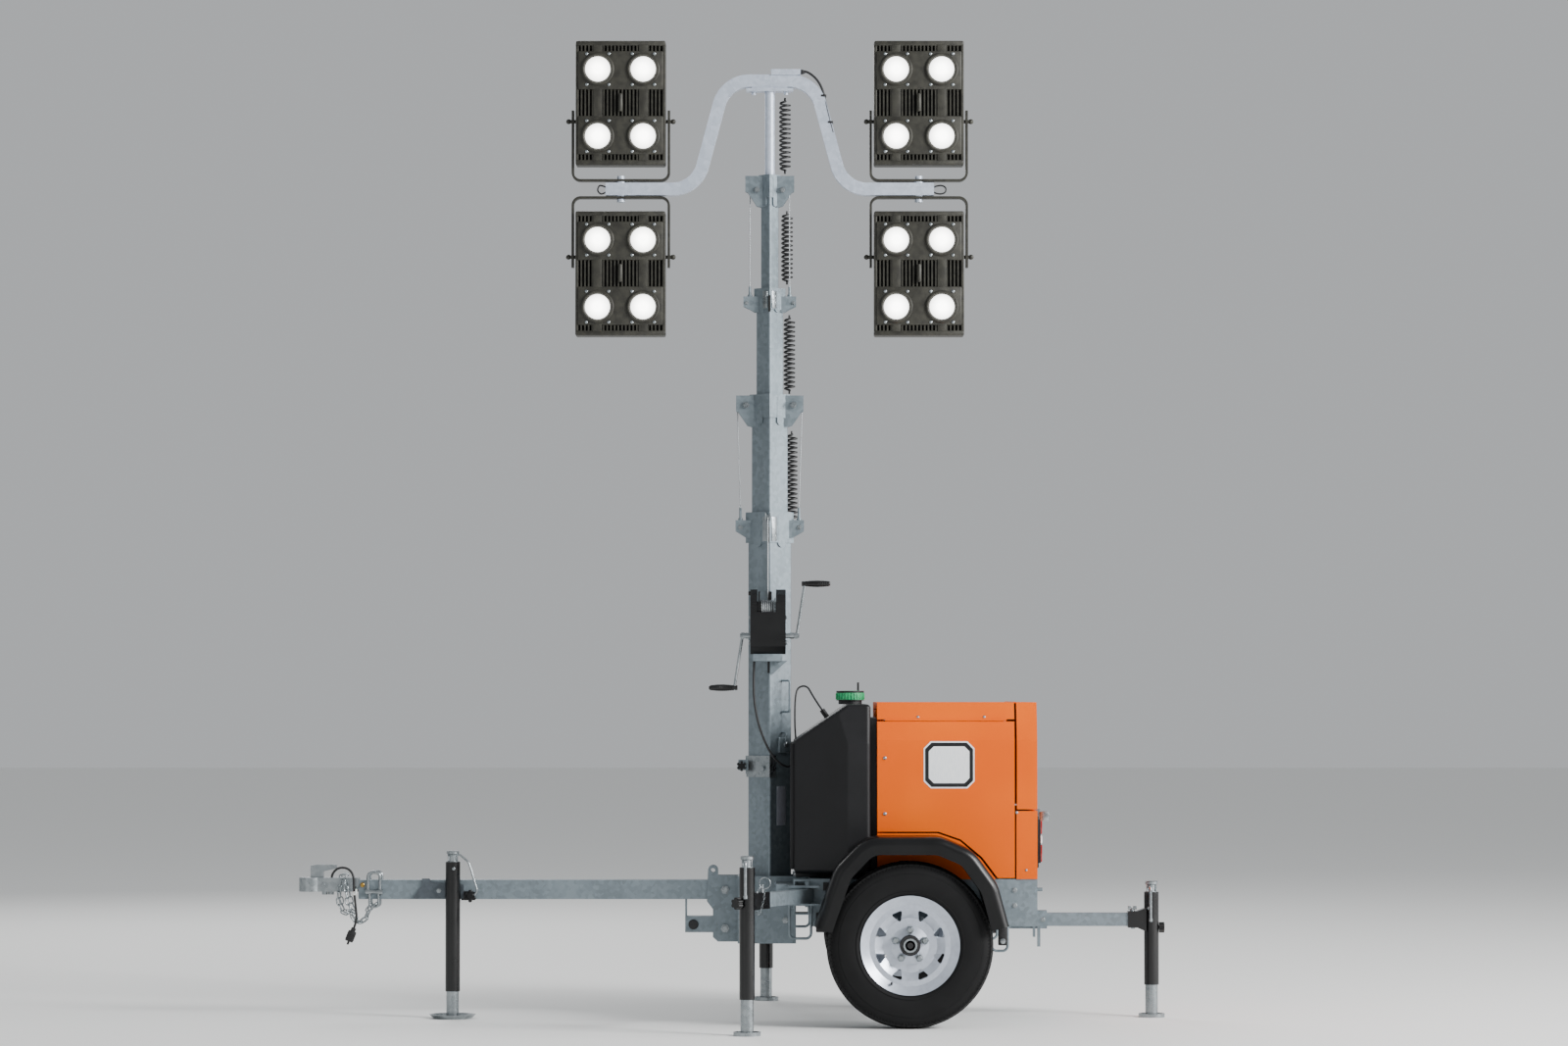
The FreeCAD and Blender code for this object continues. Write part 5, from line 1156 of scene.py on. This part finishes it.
plate_white = anodised_plate("white_coated_aluminium", "#E9EDF0", "#F5F7F8", 0.1)
plate_dark = anodised_plate("dark_coated_aluminium", "#0A0A0C", "#121216", 0.1)
plate_grey = anodised_plate("grey_coated_aluminium", "#8C8E98", "#9FA1AC", 0.2)
for side, body in ((-1, "door_near"), (1, "door_far")):
    shape = bmesh.new()
    for grow, low, high, index in ((0.0, 0.4497, 0.4510, 0), (-0.005, 0.4510, 0.4514, 1), (-0.019, 0.4514, 0.4518, 0)):
        corners = octagon(PLATE_HALF[0] + grow, PLATE_HALF[1] + grow, PLATE_CUT + grow * 0.4)
        outline = [(PLATE_MIDDLE[0] + x, PLATE_MIDDLE[1] + z) for x, z in corners]
        add_prism(shape, outline, 1, side * low, side * high, index)
    finished("blank_plate_" + body, shape, [plate_white, plate_dark], body)

shape = bmesh.new()
add_block(shape, (1.1433, -0.0370, 0.7360), (1.1480, 0.0370, 0.7960), 0.002)
add_block(shape, (1.1485, -0.0318, 0.7402), (1.1790, 0.0318, 0.7918), 0.0015)
add_block(shape, (1.1762, -0.0468, 0.7462), (1.2068, 0.0468, 0.7828), 0.0016)
add_block(shape, (1.1800, -0.0400, 0.7520), (1.2090, 0.0400, 0.7770), 0.004)
finished("rear_latch_handle", shape, bright_zinc, "trailer")
for side in (-1, 1):
    shape = bmesh.new()
    low, high = sorted((side * 0.442, side * 0.462))
    add_block(shape, (0.996, low, 0.296), (1.030, high, 0.378), 0.004, index=0)
    add_turned(shape, ((0.0, 0.0), (0.0, 0.011), (0.004, 0.010), (0.006, 0.0)), (1.013, side * 0.462, 0.312), (0, side, 0), 20, 1)
    low, high = sorted((side * 0.438, side * 0.468))
    add_block(shape, (0.318, low, 0.345), (0.392, high, 0.418), 0.004, index=0)
    add_turned(shape, ((0.0, 0.0), (0.0, 0.009), (0.004, 0.008), (0.005, 0.0)), (0.350, side * 0.468, 0.365), (0, side, 0), 20, 1)
    finished("frame_bumpers_" + ("near" if side < 0 else "far"), shape, [cable_rubber, bright_zinc], "trailer")
    shape = bmesh.new()
    add_turned(shape, ((0.0, 0.0), (0.0, 0.019), (0.003, 0.019), (0.006, 0.016), (0.007, 0.009), (0.007, 0.0)), (-0.145, side * 0.0425, 0.354), (0, side, 0), 28)
    finished("hitch_plug_" + ("near" if side < 0 else "far"), shape, cable_rubber, "trailer")


# Tail lamps: three lens panels, red above and below a clear one, in a black moulded housing
# held by two screws.
def clear_acrylic():
    """Clear acrylic lens with fine ribs over a bright reflector."""
    material, tree, shader = start_material("clear_acrylic_lens", {"Roughness": 0.1, "IOR": 1.49, "Metallic": 0.3})
    place = add_node(tree, "ShaderNodeTexCoord").outputs["Object"]
    ribs = add_node(tree, "ShaderNodeTexWave", {"Vector": place, "Scale": 39.0}, bands_direction="Y").outputs["Fac"]
    tree.links.new(between(tree, ribs, "#B9BCBE", "#EEF0F1", 0.2, 0.8), shader.inputs["Base Color"])
    relief(tree, shader, ribs, 0.0006, 0.6)
    return material


LENS_PANELS = ((0.602, 0.668, 0), (0.671, 0.703, 2), (0.706, 0.758, 0))
red_lens = NODES["tail_lamps"].data.materials[0]
clear_lens = clear_acrylic()
shape = bmesh.new()
for middle in (-0.340, 0.340):
    add_block(shape, (1.1432, middle - 0.050, 0.581), (1.1512, middle + 0.050, 0.774), 0.003, index=1)
    add_block(shape, (1.1500, middle - 0.0465, 0.5985), (1.1590, middle + 0.0465, 0.7615), 0.004, index=1)
    for low, high, index in LENS_PANELS:
        add_block(shape, (1.1560, middle - 0.0435, low), (1.1650, middle + 0.0435, high), 0.004, index=index)
    for z in (0.589, 0.766):
        add_turned(shape, ((0.0, 0.0), (0.0, 0.005), (0.002, 0.004), (0.003, 0.0)), (1.1512, middle, z), (1, 0, 0), 16, 3)
tail = finished("tail_lamp_lenses", shape, [red_lens, tank_skin, clear_lens, bright_zinc], "trailer")
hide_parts("tail_lamps")


# Winch fittings: turns of steel rope on the drum, a toothed ratchet wheel, the rope up the
# mast's front corner and the grooved roller that leads it inside.
ROPE_END_Z = 1.902
ROLLER_PLACE = (0.138, -0.0865, 1.905)
shape = bmesh.new()
turns = []
for number in range(7 * 24 + 1):
    angle = 2 * math.pi * number / 24
    turns.append((0.112 + 0.0075 * number / 24, -0.146 + 0.0325 * math.cos(angle), 1.552 + 0.0325 * math.sin(angle)))
add_tube(shape, turns, 0.0028, 8)
add_tube(shape, [(0.138, -0.1135, 1.556), (0.138, -0.106, 1.70), (0.138, -0.0985, ROPE_END_Z)], 0.0026, 8)
finished("winch_rope", shape, rope_steel, "mast_1", smooth=60.0)

shape = bmesh.new()
teeth = 22
outline = []
for number in range(teeth):
    angle = 2 * math.pi * number / teeth
    for share, reach in ((0.0, 0.043), (0.25, 0.043), (0.5, 0.0375)):
        a = angle + share * 2 * math.pi / teeth
        outline.append((-0.146 + reach * math.cos(a), 1.552 + reach * math.sin(a)))
add_prism(shape, outline, 0, 0.163, 0.168)
add_turned(shape, ((-0.007, 0.0), (-0.007, 0.0125), (-0.005, 0.0125), (-0.0015, 0.0085), (0.0015, 0.0085), (0.005, 0.0125), (0.007, 0.0125), (0.007, 0.0)),
           ROLLER_PLACE, (1, 0, 0), 24)
add_turned(shape, ((-0.012, 0.0), (-0.012, 0.004), (0.012, 0.004), (0.012, 0.0)), ROLLER_PLACE, (1, 0, 0), 12)
for x in (0.1275, 0.1455):
    add_block(shape, (x, -0.101, 1.889), (x + 0.003, -0.070, 1.921), 0.001)
finished("rope_roller", shape, bright_zinc, "mast_1", smooth=30.0)


# Front jack: the black tube with its clamp ring, the lobed knob that locks it, and the
# galvanised plate that bolts it to the drawbar, in a darker zinc as painted shade.
TUBE_IN = 0.0244
FRONT_TUBE = ((0.5875, 0.0), (0.5875, TUBE_IN), (0.103, TUBE_IN), (0.103, 0.028), (0.452, 0.028), (0.452, 0.029), (0.518, 0.029),
              (0.518, 0.028), (0.5915, 0.028), (0.593, 0.0265), (0.593, 0.0))
shape = bmesh.new()
add_turned(shape, FRONT_TUBE, (-1.059, -0.072, 0), (0, 0, 1), 40)
add_block(shape, (-1.029, -0.046, 0.446), (-0.984, -0.038, 0.480), 0.001)
add_turned(shape, ((0.0, 0.0), (0.0, 0.0160), (0.018, 0.0165), (0.022, 0.0120), (0.022, 0.0)), (-0.994, -0.044, 0.462), (0, -1, 0), 32, 1)
for lobe in range(6):
    angle = math.pi / 3 * lobe
    place = (-0.994 + 0.0170 * math.sin(angle), -0.044, 0.462 + 0.0170 * math.cos(angle))
    add_turned(shape, ((0.0, 0.0), (0.0, 0.0070), (0.0190, 0.0070), (0.0205, 0.0052), (0.0205, 0.0)), place, (0, -1, 0), 16, 1)
front_tube = finished("front_jack_tube", shape, [black_enamel, fender_skin], "trailer")
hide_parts("jack_tube_front")
# a darker copy of the galvanised zinc: painted shade on the bracket plate
zinc_with_painted_shade = dipped_zinc("galvanised_bracket_painted_shade", "#4B5258", "#5C646B", 0.5, 0.45)
shape = bmesh.new()
add_prism(shape, ((-1.2130, 0.4526), (-1.1900, 0.4880), (-1.1788, 0.4998), (-1.1788, 0.5286), (-1.1500, 0.5286), (-1.1396, 0.5129),
                  (-1.0200, 0.5050), (-1.0200, 0.4526)), 1, -0.0470, -0.0380)
finished("front_jack_plate", shape, zinc_with_painted_shade, "trailer")


# Winch base and lock knob: the galvanised shelf and gusset that carry the winch, and the strap with the
# moulded black six-lobed knob that locks the mast against turning.
shape = bmesh.new()
add_block(shape, (MAST_X - 0.0628, -0.1808, 1.3542), (MAST_X + 0.0488, -0.0890, 1.3818), 0.0015, index=0)
add_prism(shape, ((0.146, 1.356), (0.212, 1.356), (0.152, 1.302), (0.146, 1.304)), 1, -0.1045, -0.0990)
finished("winch_shelf", shape, [galvanised], "mast_1")

shape = bmesh.new()
add_prism(shape, ((0.0575, -0.0044), (0.1450, -0.0919), (0.1675, -0.0694), (0.1696, -0.0715), (0.1450, -0.0961), (0.0554, -0.0065)), 2, 0.9140, 0.9956)
finished("mast_lock_strap", shape, bright_zinc, "mast_1", smooth=20.0)
shape = bmesh.new()
add_turned(shape, ((-0.001, 0.0), (-0.001, 0.0150), (0.0215, 0.0150), (0.0255, 0.011), (0.0255, 0.0)), (0.038, -0.010, 0.956), (0, -1, 0), 24)
for number in range(6):
    angle = 2 * math.pi * number / 6
    place = (0.038 + 0.0138 * math.sin(angle), -0.010, 0.956 + 0.0138 * math.cos(angle))
    add_turned(shape, ((-0.001, 0.0), (-0.001, 0.0062), (0.0225, 0.0062), (0.0245, 0.0045), (0.0245, 0.0)), place, (0, -1, 0), 16)
finished("mast_lock_knob", shape, fender_skin, "mast_1")


# Cranks: a plated shaft with a nut each side and two bent round arms, whose ends carry black
# ribbed grips that turn in the hand.
CRANK_Y = -0.150
CRANK_Z = 1.451
shape = bmesh.new()
add_turned(shape, ((-0.103, 0.0), (-0.103, 0.0095), (0.103, 0.0095), (0.103, 0.0)), (MAST_X, CRANK_Y, CRANK_Z), (1, 0, 0), 20)
for side in (-1, 1):
    tip = CRANK_Z + side * 0.197
    hub = ((0.0, 0.0), (0.0, 0.0135), (0.012, 0.0135), (0.013, 0.010), (0.018, 0.010), (0.019, 0.0))
    add_turned(shape, hub, (MAST_X + side * 0.094, CRANK_Y, CRANK_Z), (side, 0, 0), 6)
    add_turned(shape, ((-0.0075, 0.0), (-0.0075, 0.012), (0.0075, 0.012), (0.0075, 0.0)), (MAST_X + side * 0.084, CRANK_Y, CRANK_Z), (1, 0, 0), 24)
    route = [(MAST_X + side * 0.1025, CRANK_Y, CRANK_Z - side * 0.012), (MAST_X + side * 0.1045, CRANK_Y, CRANK_Z + side * 0.01),
             (MAST_X + side * 0.1318, CRANK_Y, tip - side * 0.012), (MAST_X + side * 0.1335, CRANK_Y, tip + side * 0.010)]
    add_tube(shape, rounded_route(route, 0.008), 0.0055, 12)
    grip = [(-0.012, 0.0), (-0.012, 0.009), (-0.002, 0.009), (0.0, 0.0095)]
    for number in range(12):
        along = 0.004 + number * 0.0073
        bulge = 0.0100 + 0.0032 * math.sin(math.pi * (number + 0.5) / 12)
        grip += [(along, bulge), (along + 0.0048, bulge), (along + 0.0058, bulge - 0.0011)]
    grip += [(0.0925, 0.0095), (0.0968, 0.006), (0.0968, 0.0)]
    add_turned(shape, grip, (MAST_X + side * 0.1335, CRANK_Y, tip), (side, 0, 0), 24, 1)
crank_set = finished("crank_set", shape, [bright_zinc, black_enamel], "winch_cranks")
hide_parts("winch_cranks")


# Mast cables: two black power leads. One leaves the winch's bracket and wraps behind the
# mast, and the other rises from the gland in the tank and dips in front of its hollow.
LEAD_1 = (
    (0.0865, -0.128, 1.360), (0.083, -0.131, 1.262), (0.088, -0.130, 1.188), (0.103, -0.126, 1.113), (0.126, -0.120, 1.050),
    (0.155, -0.112, 0.994), (0.188, -0.098, 0.962), (0.212, -0.076, 0.953), (0.232, -0.044, 0.960), (0.241, -0.010, 0.975), (0.226, 0.016, 0.985),
)
LEAD_2 = (
    (0.343, -0.150, 1.171), (0.330, -0.142, 1.190), (0.306, -0.088, 1.228), (0.288, -0.046, 1.262), (0.253, -0.046, 1.258),
    (0.2425, -0.060, 1.222), (0.2405, -0.068, 1.150), (0.242, -0.088, 1.072), (0.2505, -0.1045, 1.000),
)


def power_lead(name, route, diameter, body):
    """A sheathed lead that leaves the machine and goes back into it."""
    lead = nurbs_curve(name, route, diameter / 2, cable_rubber)
    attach(lead, body)


power_lead("mast_lead", LEAD_1, 0.009, "mast_1")
power_lead("tank_lead", LEAD_2, 0.007, "trailer")


# Lamp arm leads: a black lead clipped along the arm's right shoulder from the junction box,
# with a short loop at each end of the arm between the yokes.
SHOULDER_LEAD = (
    (0.262, -0.010, 3.616), (0.280, -0.012, 3.618), (0.306, -0.014, 3.604), (0.330, -0.016, 3.580), (0.348, -0.018, 3.545),
    (0.358, -0.020, 3.500), (0.372, -0.020, 3.440), (0.388, -0.020, 3.380),
)
power_lead("shoulder_lead", SHOULDER_LEAD, 0.009, "mast_5")
for name, side, reach, length in (("lamp_lead_right", 1, 0.046, 0.119), ("lamp_lead_left", -1, 0.030, 0.091)):
    end = MAST_X + side * 0.627
    loop = [(end, 0.006, 3.172), (end + side * 0.022, 0.002, 3.181), (end + side * reach, -0.004, 3.174), (end + side * (reach + 0.004), -0.008, 3.158),
            (end + side * (reach - 0.006), -0.012, 3.146), (end + side * 0.016, -0.012, 3.144), (end, -0.010, 3.152)]
    power_lead(name, loop, 0.006, "mast_5")

shape = bmesh.new()
add_turned(shape, ((0.0, 0.0), (0.0, 0.009), (0.010, 0.009), (0.012, 0.007), (0.018, 0.006), (0.018, 0.0)), (0.2625, -0.010, 3.614), (1, 0, 0), 16, 0)
for x, z in ((0.352, 3.522), (0.378, 3.420)):
    add_block(shape, (x - 0.010, -0.027, z - 0.004), (x + 0.010, 0.0245, z + 0.004), 0.0015, index=0)
finished("arm_gland_and_clips", shape, [cable_rubber], "mast_5")


# Mast face fittings: a blank aluminium plate riveted to the right front face of the outer section,
# and a rounded clamp with a domed bolt on the same face.
def on_right_face(along, z, out=0.0):
    """A place on the right front face: distance along it from the front corner, height and stand-off."""
    step = math.sqrt(0.5)
    return Vector((MAST_X, -0.0849, z)) + Vector((step, step, 0)) * along + Vector((step, -step, 0)) * out


FACE_TURN = Matrix.Rotation(math.radians(45), 4, "Z")
shape = bmesh.new()
add_block(shape, (-0.024, -0.0012, -0.075), (0.024, 0.0006, 0.075), 0.0005, Matrix.Translation(on_right_face(0.062, 0.805)) @ FACE_TURN, 1)
add_block(shape, (-0.030, -0.013, -0.030), (0.030, 0.001, 0.030), 0.006, Matrix.Translation(on_right_face(0.070, 1.036)) @ FACE_TURN, 2)
outward = Vector((1, -1, 0)).normalized()
add_turned(shape, ((0.0, 0.0), (0.0, 0.012), (0.004, 0.011), (0.007, 0.007), (0.008, 0.0)), on_right_face(0.076, 1.038, 0.012), outward, 20, 0)
for along, z in ((0.044, 0.873), (0.080, 0.873), (0.044, 0.737), (0.080, 0.737)):
    add_turned(shape, ((0.0, 0.0), (0.0, 0.0028), (0.0012, 0.002), (0.0016, 0.0)), on_right_face(along, z, 0.001), outward, 10, 0)
finished("mast_face_fittings", shape, [bright_zinc, plate_grey, galvanised], "mast_1")


# Mast slots: near-black blocks at the front corners of the first and third heads, painted shade
# that stands for the slots where the rope goes in, with small plates of four screws beside each corner.
SLOT_ROWS = (  # body, front corner Y, X offset, low Z, high Z, plate low Z, plate high Z, tube half diagonal
    ("mast_1", -0.0919, -0.004, 1.806, 1.870, 1.812, 1.905),
    ("mast_3", -0.0602, -0.001, 2.690, 2.752, 2.704, 2.770),
)
for body, corner_y, dx, low, high, plate_low, plate_high in SLOT_ROWS:
    shape = bmesh.new()
    # a near-black block in place of the slot's opening: painted shade
    add_block(shape, (MAST_X + dx - 0.0045, corner_y - 0.0008, low), (MAST_X + dx + 0.0045, corner_y + 0.010, high), 0.001, index=1)
    for side in (-1, 1):
        middle = Vector((MAST_X + side * 0.0165, corner_y + 0.0165, (plate_low + plate_high) / 2))
        turn = Matrix.Translation(middle) @ Matrix.Rotation(math.radians(45 * side), 4, "Z")
        half = (plate_high - plate_low) / 2
        add_block(shape, (-0.013, -0.0028, -half), (0.013, 0.001, half), 0.0015, turn, 0)
        for dx_screw, dz in ((-0.006, half - 0.012), (0.006, half - 0.020), (-0.006, 0.0), (0.006, -half + 0.02)):
            part = bmesh.new()
            pour(part, shape)
            place = turn @ Vector((dx_screw, -0.0026, dz))
            add_turned(shape, ((0.0, 0.0), (0.0, 0.0034), (0.0016, 0.003), (0.0022, 0.0)), place, turn.to_3x3() @ Vector((0, -1, 0)), 12, 0)
    finished("rope_slot_" + body, shape, [bright_zinc, recess_painted_shade], body)
